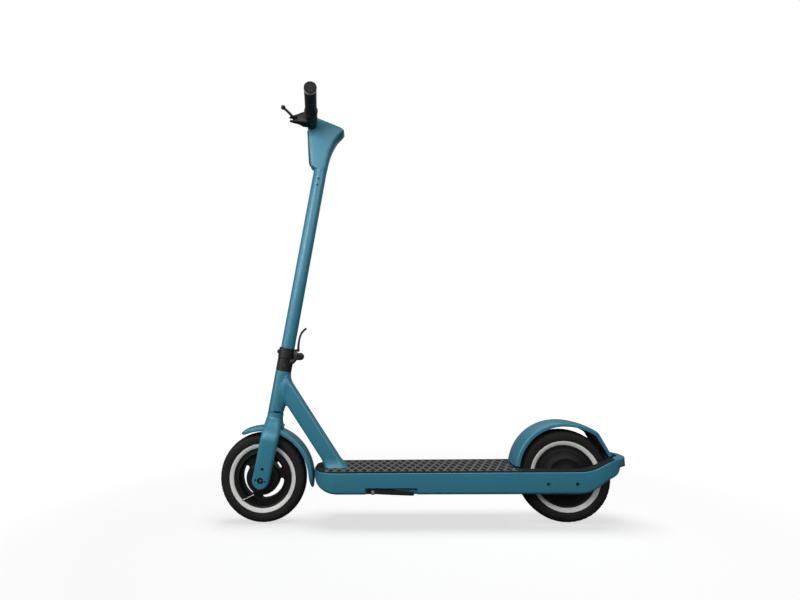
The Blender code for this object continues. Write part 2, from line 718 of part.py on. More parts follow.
def make_deck(chassis):
    slot = prism_z(wheel_slot_outline(), DECK_BOTTOM - 0.02, TAIL_TOP + 0.02)
    bay = soft_box((BAY_FRONT_X, -BAY_HALF_WIDTH, DECK_BOTTOM - 0.01), (BAY_REAR_X, BAY_HALF_WIDTH, BAY_ROOF), 0.008)
    pocket_low = (STAND_PIVOT_X - 0.021, -DECK_HALF_WIDTH - 0.01, DECK_BOTTOM - 0.01)
    pocket_high = (STAND_PIVOT_X + STAND_LENGTH + 0.009, STAND_WALL_Y + GAP, STAND_PIVOT_Z + 0.0090 + GAP)
    pocket = box(pocket_low, pocket_high)
    light_half = TAIL_LIGHT_HALF_WIDTH
    light_low = (TAIL_LIGHT_X, -light_half, TAIL_BOTTOM + TAIL_LIGHT_SILL)
    light = box(light_low, (TAIL_END_X + 0.02, light_half, TAIL_TOP - TAIL_LIGHT_BROW))
    cuts = [slot, bay, pocket, light]
    for side in (-1, 1):
        low, high = sorted((side * (WHEEL_SLOT_HALF_WIDTH - 0.002), side * (WHEEL_SLOT_HALF_WIDTH + 0.018)))
        cuts.append(disc(0.0135, low, high, "Y", (REAR_AXLE_X, 0, WHEEL_RADIUS), 20))
        low, high = sorted((side * (DECK_HALF_WIDTH - SIDE_SCREW_DEPTH), side * (DECK_HALF_WIDTH + 0.005)))
        for back in SIDE_SCREW_PLACES:
            place = (REAR_AXLE_X + back, 0, WHEEL_RADIUS - SIDE_SCREW_DROP)
            cuts.append(disc(SIDE_SCREW_RADIUS, low, high, "Y", place, 12))
    port_centre = (CHARGE_PORT_X, 0, CHARGE_PORT_Z)
    cuts.append(disc(0.0085, BAY_HALF_WIDTH - 0.003, DECK_HALF_WIDTH + 0.005, "Y", port_centre, 16))
    part("deck_frame", deck_outer_mesh(), TEAL, chassis, cuts=cuts)
    make_mat(chassis)
    low = (BAY_FRONT_X + GAP, -BAY_HALF_WIDTH + GAP, DECK_BOTTOM)
    high = (BAY_REAR_X - GAP, BAY_HALF_WIDTH - GAP, DECK_BOTTOM + COVER_THICKNESS)
    part("bottom_cover", soft_box(low, high, 0.008), BLACK_PLASTIC, chassis)
    floor = DECK_BOTTOM + COVER_THICKNESS + GAP
    battery_front = BAY_FRONT_X + 0.012
    low = (battery_front, -0.056, floor)
    high = (battery_front + BATTERY_LENGTH, 0.056, BAY_ROOF - 0.002)
    part("battery_pack", soft_box(low, high, 0.008, "X"), WRAP, chassis)
    low = (BAY_REAR_X - 0.010 - CONTROLLER_LENGTH, -0.040, floor)
    high = (BAY_REAR_X - 0.010, 0.040, floor + 0.030)
    part("motor_controller", soft_box(low, high, 0.004, "X"), STEEL, chassis)


def make_mat(chassis):
    loops = []
    for x in deck_stations(DECK_NOSE_X + 0.0042, MAT_REAR_X):
        half, _, top = deck_section(x)
        low = top + GAP
        edge = half - MAT_EDGE
        points = rounded_box_loop((-edge, low), (edge, low + MAT_THICKNESS), (0.0002, 0.0002, 0.001, 0.001), 1)
        loops.append([(x, y, z) for y, z in points])
    foot = prism_z(foot_outline(GAP), DECK_TOP - 0.01, DECK_TOP + 0.01)
    slot = prism_z(wheel_slot_outline(0.0005), DECK_BOTTOM, TAIL_TOP + 0.03)
    foot_half = REAR_FENDER_HALF_WIDTH + GAP
    foot_front = REAR_AXLE_X - REAR_FENDER_RADIUS - GAP
    rear_foot = box((foot_front, -foot_half, DECK_TOP - 0.01), (WHEEL_SLOT_FRONT + 0.02, foot_half, DECK_TOP + 0.01))
    part("deck_mat", closed_loft(loops), MAT_RUBBER, chassis, cuts=[foot, slot, rear_foot])


def make_charge_port(chassis):
    x, z = CHARGE_PORT_X, CHARGE_PORT_Z
    bore = 0.0050
    face = DECK_HALF_WIDTH - 0.0008
    profile = [(bore, face), (0.0082, face), (0.0082, BAY_HALF_WIDTH + GAP), (0, BAY_HALF_WIDTH + GAP)]
    profile += [(0, face - 0.006), (bore, face - 0.006)]
    part("charge_port", lathe(profile, "Y", (x, 0, z), 16), BLACK_PLASTIC, chassis)
    low = DECK_HALF_WIDTH + GAP
    hinge = (x, low + CHARGE_HINGE_OUT, z + CHARGE_HINGE_RISE)
    cap = disc(0.0105, low, low + 0.0024, "Y", (x, 0, z), 20)
    tab = soft_box((x - 0.005, low, z + 0.008), (x + 0.005, low + 0.0024, z + 0.0133), 0.001, "Y", 1)
    part("charge_port_cap", cap, BLACK_PLASTIC, chassis, origin=hinge, joins=[tab])


def make_tail(chassis):
    """A light across the tail's end that follows the end's curve."""
    near = []
    for x in (TAIL_LIGHT_X + GAP, TAIL_END_X - 0.0085, TAIL_END_X - 0.0050, TAIL_END_X - 0.0025, TAIL_END_X - 0.0010):
        near.append((x, min(TAIL_LIGHT_HALF_WIDTH - GAP, deck_section(x)[0] - 0.0010)))
    outline = near + [(x, -half) for x, half in reversed(near)]
    lens = prism_z(outline, TAIL_BOTTOM + TAIL_LIGHT_SILL + GAP, TAIL_TOP - TAIL_LIGHT_BROW - GAP)
    part("tail_light", lens, RED_LENS, chassis)


# Fenders

def fender_loop(centre, crown, skirt_tip, half_width, wall, direction):
    """One closed section of a fender: up the outside, over the crown and back along the inside."""
    depth = crown - skirt_tip
    outside = [(-1.0, 1.0), (-1.0, 0.45), (-0.84, 0.16), (-0.50, 0.03), (0.0, 0.0)]
    outside += [(-a, b) for a, b in reversed(outside[:-1])]
    inner_half = half_width - wall
    points = [(half_width * a, crown - depth * b) for a, b in outside]
    inner_depth = depth - wall
    points += [(inner_half * a, crown - wall - inner_depth * b) for a, b in reversed(outside)]
    cx, cz = centre
    return [(cx + direction[0] * r, y, cz + direction[1] * r) for y, r in points]


def rear_fender_path():
    """Stations along the fender's crown as (point, outward direction, depth): an arc, a bend and a straight foot."""
    stations = []
    steps = 13
    for k in range(steps + 1):
        degree = REAR_FENDER_START + (REAR_FENDER_BEND + 3 - REAR_FENDER_START) * k / steps
        stations.append((around_rear_fender(degree), direction_at(degree), REAR_FENDER_DEPTH))
    bend = around_rear_fender(REAR_FENDER_BEND)
    foot = Vector((TAIL_START_X + REAR_FENDER_FOOT_BACK, TAIL_TOP + REAR_FENDER_FOOT_RISE))
    run = (foot - bend).normalized()
    outward = Vector((-run.y, run.x))
    between = (direction_at(REAR_FENDER_BEND) + outward).normalized()
    stations.append((bend - between * 0.0009, between, REAR_FENDER_DEPTH))
    stations.append((bend + run * 0.0090, outward, REAR_FENDER_DEPTH))
    stations.append((foot, outward, REAR_FENDER_FOOT_DEPTH))
    return stations


def direction_at(degree):
    return Vector((cos(radians(degree)), sin(radians(degree))))


def around_rear_fender(degree):
    """A point of the crown's line at an angle: the arc swells a little behind the wheel's middle."""
    swell = REAR_FENDER_SWELL * max(0.0, cos(radians(degree))) ** 2
    centre = Vector((REAR_AXLE_X, WHEEL_RADIUS + REAR_FENDER_RAISE))
    return centre + direction_at(degree) * (REAR_FENDER_RADIUS + swell)


def make_rear_fender(chassis):
    """An arc over the wheel that stands on the deck and comes down to the tail, with a strap inside its foot."""
    stations = rear_fender_path()
    loops = []
    for point, outward, depth in stations:
        loops.append(fender_loop(point, 0.0, -depth, REAR_FENDER_HALF_WIDTH, REAR_FENDER_WALL, outward))
    below = box((0.15, -0.08, 0.10), (REAR_AXLE_X - 0.05, 0.08, DECK_TOP + GAP))
    part("rear_fender", closed_loft(loops), TEAL, chassis, cuts=[below])

    foot, outward, _ = stations[-1]
    run = Vector((outward.y, -outward.x))
    under = foot - outward * (REAR_FENDER_WALL + STAY_CLEARANCE)
    inner = under - outward * STAY_THICKNESS
    seat = TAIL_TOP + GAP
    end = TAIL_START_X + STAY_FOOT_BACK
    top = seat + STAY_THICKNESS
    stay = [under - run * STAY_LENGTH, under + run * ((top - under.y) / run.y), (end, top), (end, seat)]
    stay += [inner + run * ((seat - inner.y) / run.y), inner - run * STAY_LENGTH]
    part("rear_fender_stay", prism_y(stay, -STAY_HALF_WIDTH, STAY_HALF_WIDTH), BLACK_METAL, chassis)


# Neck

def down_tube_section(z):
    """Front and rear edges of the down tube at a height: both edges are straight lines."""
    front = DOWN_TUBE_FRONT_X - (z - DECK_TOP) * DOWN_TUBE_FRONT_SLOPE
    rear = DOWN_TUBE_REAR_X - (z - DECK_TOP) * DOWN_TUBE_REAR_SLOPE
    return front, rear


def foot_flare(z):
    return max(0.0, 1 - (z - DECK_TOP) / FOOT_FLARE_HEIGHT) ** 2


def foot_reach(z):
    """Front and rear of the down tube with the flare at its foot."""
    front, rear = down_tube_section(z)
    return front - FOOT_FRONT_FLARE * foot_flare(z), rear + FOOT_REAR_FLARE * foot_flare(z)


def down_tube_mesh(inset, bottom, top):
    loops = []
    flare_steps = [DECK_TOP + FOOT_FLARE_HEIGHT * share for share in (0.13, 0.35, 0.65, 1.0)]
    heights = [bottom] + flare_steps + [DECK_TOP + rise for rise in (0.0985, 0.1685, 0.2085)] + [top]
    for z in sorted(set(height for height in heights if bottom <= height <= top)):
        front, rear = foot_reach(z)
        axis_x = FRONT_AXLE_X + (z - WHEEL_RADIUS) * tan(LEAN)
        front = max(front, axis_x)
        half = DOWN_TUBE_HALF_WIDTH + (FOOT_HALF_WIDTH - DOWN_TUBE_HALF_WIDTH) * foot_flare(z) - inset
        low = (front + inset * 1.2, -half)
        high = (rear - inset * 1.2, half)
        radius = max(0.002, DOWN_TUBE_CORNER - inset + FOOT_CORNER_GROWTH * foot_flare(z))
        points = rounded_box_loop(low, high, (radius,) * 4, 4)
        loops.append([(x, y, z) for x, y in points])
    return closed_loft(loops)


def make_neck(chassis):
    steps = 24
    wall_profile = [(0, NECK_BOTTOM), (NECK_RADIUS, NECK_BOTTOM), (NECK_RADIUS, NECK_TOP), (0, NECK_TOP)]
    head_tube = moved(lathe(wall_profile, "Z", steps=steps), STEM_FRAME)
    tube = down_tube_mesh(0.0, DECK_TOP + GAP, DOWN_TUBE_TOP)
    hollow = down_tube_mesh(DOWN_TUBE_WALL, DECK_TOP - 0.01, DOWN_TUBE_TOP - DOWN_TUBE_CROWN)
    bore = STEERER_RADIUS + 0.0015
    seat = HEADSET_RADIUS + GAP
    low_seat = NECK_BOTTOM + STOP_HEIGHT + 0.0020 + HEADSET_WIDTH
    high_seat = NECK_TOP - HEADSET_WIDTH - 0.0005
    bore_profile = [
        (0, NECK_BOTTOM - 0.01),
        (seat, NECK_BOTTOM - 0.01),
        (seat, low_seat + GAP),
        (bore, low_seat + GAP),
        (bore, high_seat - GAP),
        (seat, high_seat - GAP),
        (seat, NECK_TOP + 0.01),
        (0, NECK_TOP + 0.01),
    ]
    bore_tool = moved(lathe(bore_profile, "Z", steps=20), STEM_FRAME)
    stop_cut = moved(sector(STOP_CUT_HALF_ANGLE, 0.0150, 0.035, NECK_BOTTOM - 0.01, NECK_BOTTOM + STOP_HEIGHT), STEM_FRAME)
    part("neck", tube, TEAL, chassis, joins=[head_tube], cuts=[hollow, bore_tool], manifold_cuts=[stop_cut])
    for name, low in (
        ("headset_bearing_lower", low_seat - HEADSET_WIDTH),
        ("headset_bearing_upper", high_seat),
    ):
        inner = (STEERER_RADIUS + GAP) / cos(pi / 20)
        ring = tube_ring(inner, HEADSET_RADIUS, low, low + HEADSET_WIDTH, "Z", steps=20)
        part(name, moved(ring, STEM_FRAME), STEEL, chassis)


def sector(half_angle, inner, outer, low, high):
    """A slice of a ring about Z, centred on +X, with its angle in degrees."""
    outline = arc_points((0, 0), outer, -half_angle, half_angle, 16)
    outline += arc_points((0, 0), inner, half_angle, -half_angle, 16)
    return prism_z(outline, low, high)


# Fork

def fork_outer_mesh():
    table = [
        (NECK_BOTTOM - GAP, -NECK_RADIUS, NECK_RADIUS, NECK_RADIUS, NECK_RADIUS),
        (0.1740, -NECK_RADIUS, 0.0240, 0.0243, 0.0230),
        (0.1640, -0.0240, 0.0250, 0.0300, 0.0200),
        (0.1540, -0.0240, 0.0265, 0.0395, 0.0170),
        (0.1420, -0.0239, 0.0280, 0.0490, 0.0150),
        (0.1280, -0.0237, 0.0288, 0.0560, 0.0130),
        (0.1100, -0.0235, 0.0285, 0.0595, 0.0110),
        (0.0600, -0.0234, 0.0265, FORK_HALF_WIDTH, 0.0090),
        (0.0100, -0.0240, 0.0252, FORK_HALF_WIDTH, 0.0080),
    ]
    loops = []
    for height, front, rear, half, radius in table:
        points = rounded_box_loop((front, -half), (rear, half), (radius,) * 4, 3)
        loops.append([(x, y, height) for x, y in points])
    for height in (0.0, -0.0080, -0.0145, -0.0195, -0.0225, -0.0238):
        reach = sqrt(FORK_END_RADIUS ** 2 - height ** 2)
        points = rounded_box_loop((-reach, -FORK_HALF_WIDTH), (reach, FORK_HALF_WIDTH), (0.0070,) * 4, 3)
        loops.append([(x, y, height) for x, y in points])
    return closed_loft(loops)


def make_fork(steer):
    arch = [(FORK_SLOT_HALF_WIDTH, -0.06), (FORK_SLOT_HALF_WIDTH, 0.130), (0.0365, 0.1430), (0.0300, 0.1525)]
    arch += [(0.0160, 0.1575), (0.0, FORK_ARCH_TOP)]
    arch += [(-y, z) for y, z in reversed(arch[:-1])]
    slot = prism_x(arch, -0.05, 0.05)
    recess = AXLE_NUT_ACROSS / cos(pi / 6) + 0.0012
    recess_floor = FORK_HALF_WIDTH - 0.0045 - AXLE_NUT_THICKNESS - GAP
    beyond = FORK_HALF_WIDTH + 0.010
    hole_profile = [
        (0, -beyond),
        (recess, -beyond),
        (recess, -recess_floor),
        (AXLE_RADIUS + GAP, -recess_floor),
        (AXLE_RADIUS + GAP, recess_floor),
        (recess, recess_floor),
        (recess, beyond),
        (0, beyond),
    ]
    cuts = [slot, lathe(hole_profile, "Y", steps=20)]
    steerer_bore = disc(STEERER_RADIUS + GAP, FORK_ARCH_TOP + 0.004, NECK_BOTTOM + 0.01, "Z", steps=20)
    cuts.append(steerer_bore)
    small_holes = []
    for side in (-1, 1):
        low, high = sorted((side * (FORK_HALF_WIDTH - 0.006), side * (FORK_HALF_WIDTH + 0.01)))
        cuts.append(disc(FORK_HOLE_RADIUS, low, high, "Y", (0.0, 0, FORK_HOLE_HEIGHT), 12))
        for back in (-FORK_SMALL_HOLE_BACK, FORK_SMALL_HOLE_BACK):
            small_holes.append(disc(FORK_SMALL_HOLE_RADIUS, low, high, "Y", (back, 0, 0.0), 10))
    lug_top = NECK_BOTTOM + STOP_HEIGHT - 0.0005
    lug = sector(STOP_LUG_HALF_ANGLE, HEADSET_RADIUS + 0.0004, NECK_RADIUS - 0.0002, NECK_BOTTOM - 0.004, lug_top)
    part("fork", fork_outer_mesh(), TEAL, steer, joins=[lug], cuts=cuts, manifold_cuts=small_holes)
    top = HINGE_SPLIT - 0.005
    low = FORK_ARCH_TOP + 0.004 + GAP
    part("steerer", tube_ring(0.0125, STEERER_RADIUS, low, top, "Z", steps=20), STEEL, steer)


def make_front_fender(steer):
    """The fender is drawn in world directions and set into the steered frame with its tilt undone."""
    loops = []
    steps = 17
    for k in range(steps + 1):
        share = k / steps
        angle = radians(FENDER_FRONT_ANGLE + (FENDER_REAR_ANGLE - FENDER_FRONT_ANGLE) * share)
        from_front = FENDER_FRONT_ANGLE - degrees(angle)
        from_rear = degrees(angle) - FENDER_REAR_ANGLE
        front_fade = sqrt(max(0.0, 1 - (1 - min(1.0, (from_front + 0.6) / 9)) ** 2))
        rear_fade = sqrt(max(0.0, 1 - (1 - min(1.0, (from_rear + 0.6) / 16)) ** 2))
        fade = min(front_fade, rear_fade)
        crown = FENDER_RADIUS + FENDER_REAR_LIFT * share ** 2 - 0.0060 * (1 - front_fade)
        skirt = crown - max(0.0050, FENDER_DEPTH * fade)
        half = FENDER_HALF_WIDTH * (FENDER_END_SHARE + (1 - FENDER_END_SHARE) * fade)
        direction = (cos(angle), sin(angle))
        loops.append(fender_loop((0, 0), crown, skirt, half, FENDER_WALL, direction))
    shell = moved(closed_loft(loops), Matrix.Rotation(-LEAN, 4, "Y"))
    seat = FORK_ARCH_TOP - 0.0004
    bracket = [(-0.010, FENDER_RADIUS - 0.001), (0.0320, FENDER_RADIUS - 0.0045), (0.0320, seat), (-0.010, seat)]
    part("front_fender", shell, TEAL, steer, joins=[prism_y(bracket, -0.0090, 0.0090)])


# Folding joint

def lug_outline(foot):
    """A foot and the round eye that surrounds the fold pin."""
    eye = arc_points((FOLD_PIN_BACK, FOLD_PIN_HEIGHT), LUG_RADIUS, foot[0], foot[1], 11)
    return list(foot[2]) + eye + list(foot[3])


def make_hinge_blocks(steer, fold):
    bore = STEERER_RADIUS + GAP
    lower_foot = NECK_TOP + GAP
    edge = 0.0012
    profile = [
        (bore, lower_foot),
        (NECK_RADIUS - edge, lower_foot),
        (NECK_RADIUS, lower_foot + edge),
        (NECK_RADIUS, HINGE_SPLIT - edge),
        (NECK_RADIUS - edge, HINGE_SPLIT),
        (bore, HINGE_SPLIT),
    ]
    inner = HINGE_RADIUS + 0.0021
    foot = [(0.0165, HINGE_SPLIT - 0.0170), (NECK_RADIUS, HINGE_SPLIT - 0.0130)]
    lower_eye = lug_outline((-124, 172, foot, [(inner, HINGE_SPLIT - GAP), (0.0165, HINGE_SPLIT - GAP)]))
    joins = []
    for side in (-1, 1):
        low, high = sorted((side * (KNUCKLE_HALF_WIDTH + GAP), side * EAR_OUTER))
        joins.append(prism_y(lower_eye, low, high))
    pin_hole = disc(FOLD_PIN_RADIUS + GAP / 2, -0.04, 0.04, "Y", (FOLD_PIN_BACK, 0, FOLD_PIN_HEIGHT), 14)
    part("lower_hinge_block", lathe(profile, "Z", steps=24), BLACK_METAL, steer, joins=joins, cuts=[pin_hole])

    tube_bore = TUBE_RADIUS + GAP
    upper_foot = HINGE_SPLIT + GAP
    ledge = HINGE_SPLIT + 0.004
    profile = [
        (0.0100, upper_foot),
        (HINGE_RADIUS - edge, upper_foot),
        (HINGE_RADIUS, upper_foot + edge),
        (HINGE_RADIUS, HINGE_TOP - edge),
        (HINGE_RADIUS - edge, HINGE_TOP),
        (tube_bore, HINGE_TOP),
        (tube_bore, ledge),
        (0.0100, ledge),
    ]
    base = HINGE_SPLIT + 0.0008
    knuckle = lug_outline((-168, 118, [(0.0225, base), (inner, base)], [(0.0225, FOLD_PIN_HEIGHT + 0.0130)]))
    lever_centre = (LEVER_PIN_BACK, LEVER_PIN_HEIGHT)
    ear = [(0.0225, HINGE_TOP - 0.0080)] + arc_points(lever_centre, 0.0045, -80, 90, 8)
    ear.append((0.0225, HINGE_TOP - 0.0006))
    joins = [prism_y(knuckle, -KNUCKLE_HALF_WIDTH, KNUCKLE_HALF_WIDTH)]
    for side in (-1, 1):
        low, high = sorted((side * (LEVER_HALF_WIDTH + GAP), side * (LEVER_HALF_WIDTH + 0.0035)))
        joins.append(prism_y(ear, low, high))
    joins.append(disc(LEVER_PIN_RADIUS, -LEVER_HALF_WIDTH - 0.002, LEVER_HALF_WIDTH + 0.002, "Y",
                      (LEVER_PIN_BACK, 0, LEVER_PIN_HEIGHT), 12))
    button_at = (0, 0, FOLD_PIN_HEIGHT + 0.0045)
    button_bore = disc(0.0048, -0.040, -0.0240, "X", button_at, 16)
    pin_hole = disc(FOLD_PIN_RADIUS + GAP / 2, -0.04, 0.04, "Y", (FOLD_PIN_BACK, 0, FOLD_PIN_HEIGHT), 14)
    boss = disc(0.0066, -0.0266, -0.0225, "X", button_at, 16)
    part("upper_hinge_block", lathe(profile, "Z", steps=24), BLACK_METAL, fold.empty, drawn_in=fold.drawn_in,
         joins=joins + [boss], cuts=[pin_hole, button_bore])
    button = disc(0.0045, -0.0298, -0.0262, "X", button_at, 16)
    part("safety_button", button, BLACK_METAL, fold.empty, origin=(-0.0298, 0, button_at[2]), drawn_in=fold.drawn_in)

    head = EAR_OUTER + GAP
    pin = [
        (0, -head - 0.0028),
        (0.0066, -head - 0.0026),
        (0.0068, -head),
        (FOLD_PIN_RADIUS, -head),
        (FOLD_PIN_RADIUS, head),
        (0.0068, head),
        (0.0066, head + 0.0026),
        (0, head + 0.0028),
    ]
    part("fold_hinge_pin", lathe(pin, "Y", (FOLD_PIN_BACK, 0, FOLD_PIN_HEIGHT), 14), STEEL, steer)


def make_fold_lever(fold):
    centre = (LEVER_PIN_BACK, LEVER_PIN_HEIGHT)
    hub = tube_ring(LEVER_PIN_RADIUS + GAP, LEVER_HUB_RADIUS, -LEVER_HALF_WIDTH, LEVER_HALF_WIDTH, "Y",
                    (centre[0], 0, centre[1]), 16)
    spine = [(0.0005, 0.0030), (-0.0012, 0.0150), (-0.0020, 0.0310), (-0.0008, 0.0450), (0.0038, 0.0575), (0.0132, 0.0700)]
    spine = [(centre[0] + back, centre[1] + up) for back, up in spine]
    widths = (0.0032, 0.0030, 0.0027, 0.0026, 0.0028, 0.0026)
    outline_back = []
    outline_front = []
    for k, (x, z) in enumerate(spine):
        ahead = spine[min(k + 1, len(spine) - 1)]
        behind = spine[max(k - 1, 0)]
        run = Vector((ahead[0] - behind[0], ahead[1] - behind[1])).normalized()
        outline_front.append((x - run.y * widths[k], z + run.x * widths[k]))
        outline_back.append((x + run.y * widths[k], z - run.x * widths[k]))
    blade = prism_y(outline_back + outline_front[::-1], -0.0052, 0.0052)
    part("fold_lever", hub, BLACK_METAL, fold.empty, origin=(centre[0], 0, centre[1]), drawn_in=fold.drawn_in, joins=[blade])


# Stem and head

HEAD_TABLE = [
    (TUBE_TOP, -0.0207, 0.0207, 0.0207, 0.0206, 0.0206),
    (TUBE_TOP + 0.0052, -0.0212, 0.0207, 0.0208, 0.0195, 0.0200),
    (TUBE_TOP + 0.0088, -0.0262, 0.0208, 0.0210, 0.0160, 0.0190),
    (TUBE_TOP + 0.0144, -0.0322, 0.0210, 0.0213, 0.0120, 0.0180),
    (TUBE_TOP + 0.0299, -0.0368, 0.0214, 0.0220, 0.0085, 0.0170),
    (TUBE_TOP + 0.0608, -0.0440, 0.0242, 0.0240, 0.0070, 0.0160),
    (TUBE_TOP + 0.0897, -0.0502, 0.0306, 0.0258, 0.0062, 0.0150),
    (TUBE_TOP + 0.1124, -0.0554, 0.0390, 0.0272, 0.0060, 0.0140),
    (TUBE_TOP + 0.1308, -0.0610, 0.0500, 0.0282, 0.0060, 0.0140),
    (TUBE_TOP + 0.1382, -0.0634, 0.0533, 0.0285, 0.0060, 0.0140),
    (TUBE_TOP + 0.1949, -0.0675, 0.0600, 0.0290, 0.0060, 0.0140),
]


def head_mesh(inset, low, high):
    """The head's skin, drawn inset inside itself for its hollow, up to the slanted top."""
    heights = [low] + [row[0] for row in HEAD_TABLE if low < row[0] < high] + [high]
    loops = []
    for height in heights:
        front, rear, half, front_corner, rear_corner = mixed(HEAD_TABLE, height)
        near, far = (max(0.002, corner - inset) for corner in (front_corner, rear_corner))
        low_point, high_point = (front + inset, -half + inset), (rear - inset, half - inset)
        points = rounded_box_loop(low_point, high_point, (near, far, far, near), 3)
        loops.append([(x, y, height) for x, y in points])
    return closed_loft(loops)


def head_top_normal():
    return Vector((HEAD_TOP_SLOPE, 0, 1)).normalized()


def make_stem(fold):
    tube_foot = HINGE_SPLIT + 0.004 + GAP
    tube = tube_ring(TUBE_RADIUS - TUBE_WALL, TUBE_RADIUS, tube_foot, TUBE_TOP - GAP, "Z", steps=32)
    holes = []
    screws = [(STEM_SCREW_BACK, 0, TUBE_TOP - drop) for drop in STEM_SCREW_DROPS]
    for place in screws:
        holes.append(disc(STEM_SCREW_RADIUS, -0.030, 0.0, "Y", place, 12))
    part("stem_tube", tube, TEAL, fold.empty, drawn_in=fold.drawn_in, cuts=holes)

    shell = sliced(head_mesh(0.0, TUBE_TOP, HEAD_TABLE[-1][0]), (0, 0, HEAD_TOP_AT_AXIS), head_top_normal())
    shell = sliced(shell, (-0.0430, 0, HEAD_TOP_AT_AXIS + 0.0108), Vector((-0.45, 0, 0.90)).normalized())
    hollow = head_mesh(HEAD_WALL, TUBE_TOP + 0.036, HEAD_TABLE[-1][0] + 0.015)
    wire_bore = disc(0.0130, TUBE_TOP - SPIGOT_LENGTH - 0.01, TUBE_TOP + 0.046, "Z", steps=16)
    spigot_radius = TUBE_RADIUS - TUBE_WALL - GAP
    spigot = disc(spigot_radius, TUBE_TOP - SPIGOT_LENGTH, TUBE_TOP + 0.006, "Z", steps=32)
    bar_hole = disc(BAR_RADIUS + GAP, -0.05, 0.05, "Y", (BAR_BACK, 0, BAR_HEIGHT), 24)
    cuts = [hollow, wire_bore, bar_hole, front_cover_mesh(GAP)]
    for place in screws:
        cuts.append(disc(STEM_SCREW_RADIUS - GAP, -0.030, 0.0, "Y", place, 12))
    part("stem_head", shell, TEAL, fold.empty, drawn_in=fold.drawn_in, joins=[spigot], cuts=cuts)

    lens_hole = disc(HEADLIGHT_HOLE_RADIUS, -0.08, -0.02, "X", (0, 0, HEADLIGHT_HEIGHT), 20)
    part("head_front_cover", front_cover_mesh(0.0), BLACK_PLASTIC, fold.empty, drawn_in=fold.drawn_in, cuts=[lens_hole])
    face = mixed(HEAD_TABLE, HEADLIGHT_HEIGHT)[0] - 0.0002
    tilt = Matrix.Translation((face, 0, HEADLIGHT_HEIGHT)) @ Matrix.Rotation(radians(-12.5), 4, "Y")
    lens_profile = [(0, -0.0020), (0.0060, -0.0017), (0.0095, -0.0008), (0.0106, 0.0002), (0.0106, 0.0014), (0, 0.0014)]
    lens = moved(lathe(lens_profile, "X", steps=20), tilt)
    part("headlight_lens", lens, CLEAR_LENS, fold.empty, drawn_in=fold.drawn_in)


def front_cover_mesh(grow):
    """The black strip down the front of the head. Drawn larger, it cuts its own recess."""
    loops = []
    low = TUBE_TOP + 0.0200 - grow
    high = BAR_HEIGHT - BAR_RADIUS - 0.0040 + grow
    for height in [low] + [row[0] for row in HEAD_TABLE if low < row[0] < high] + [high]:
        front, _, half, _, _ = mixed(HEAD_TABLE, height)
        wide = max(0.0075, half - 0.0125) + grow
        points = rounded_box_loop((front - 0.0012, -wide), (front + 0.0022 + grow, wide), (0.0008,) * 4, 1)
        loops.append([(x, y, height) for x, y in points])
    return closed_loft(loops)


def top_plane_frame(back, lift):
    """A frame on the head's slanted top: its X runs down the slope and its Z out of the face."""
    tilt = atan2(HEAD_TOP_SLOPE, 1.0)
    height = HEAD_TOP_AT_AXIS - HEAD_TOP_SLOPE * back
    return Matrix.Translation((back, 0, height)) @ Matrix.Rotation(tilt, 4, "Y") @ Matrix.Translation((0, 0, lift))


def make_display(fold):
    outline = rounded_box_loop((-0.0440, -DISPLAY_HALF_WIDTH), (0.0535, DISPLAY_HALF_WIDTH), (0.008, 0.013, 0.013, 0.008), 4)
    panel = prism_z(outline, 0.0, DISPLAY_THICKNESS)
    frame = top_plane_frame(0.0, GAP)
    button_back = 0.0420
    hole = disc(0.0056, -0.01, 0.01, "Z", (button_back, 0, 0), 20)
    for mesh in (panel, hole):
        moved(mesh, frame)
    part("display_panel", panel, GLOSS_BLACK, fold.empty, drawn_in=fold.drawn_in, cuts=[hole])
    button = moved(disc(0.0052, -0.0012, DISPLAY_THICKNESS + 0.0012, "Z", (button_back, 0, 0), 20), frame)
    place = frame @ Vector((button_back, 0, 0))
    part("power_button", button, BLACK_PLASTIC, fold.empty, origin=tuple(place), drawn_in=fold.drawn_in)


# Handlebar and its controls

class BarSide:
    """One straight arm of the handlebar. Its frame has Z outward along the arm and X forward of it."""

    def __init__(self, side):
        across = sin(BAR_SWEEP)
        self.side = side
        self.axis = Vector((across * cos(LEAN), side * cos(BAR_SWEEP), across * sin(LEAN))).normalized()
        bend_y = BAR_BEND_RADIUS * sin(BAR_SWEEP)
        bend_back = BAR_BEND_RADIUS * (1 - cos(BAR_SWEEP))
        back = BAR_BACK + bend_back * cos(LEAN)
        self.start = Vector((back, side * (BAR_BEND_START + bend_y), BAR_HEIGHT + bend_back * sin(LEAN)))
        ahead = Vector((-cos(LEAN), 0, sin(LEAN)))
        forward = ahead * cos(BRAKE_DROP) + world_down() * sin(BRAKE_DROP)
        forward = (forward - forward.dot(self.axis) * self.axis).normalized()
        third = self.axis.cross(forward)
        columns = (forward, third, self.axis)
        rotation = Matrix([[column[row] for column in columns] for row in range(3)]).to_4x4()
        self.frame = Matrix.Translation(self.start) @ rotation


def world_down():
    """The world's down direction in stem coordinates."""
    return WORLD_IN_STEM.to_3x3() @ Vector((0, 0, -1))


def bar_centres():
    """Points along the bar's centre line: straight, bent back and straight again, on both sides."""
    arm = []
    steps = 2
    for k in range(steps + 1):
        turn = BAR_SWEEP * k / steps
        y = BAR_BEND_START + BAR_BEND_RADIUS * sin(turn)
        back = BAR_BEND_RADIUS * (1 - cos(turn))
        arm.append((y, back, turn))
    end_y = arm[-1][0] + BAR_ARM_LENGTH * cos(BAR_SWEEP)
    end_back = arm[-1][1] + BAR_ARM_LENGTH * sin(BAR_SWEEP)
    arm.append((end_y, end_back, BAR_SWEEP))
    left = [(-y, back, -turn) for y, back, turn in reversed(arm)]
    return left + arm


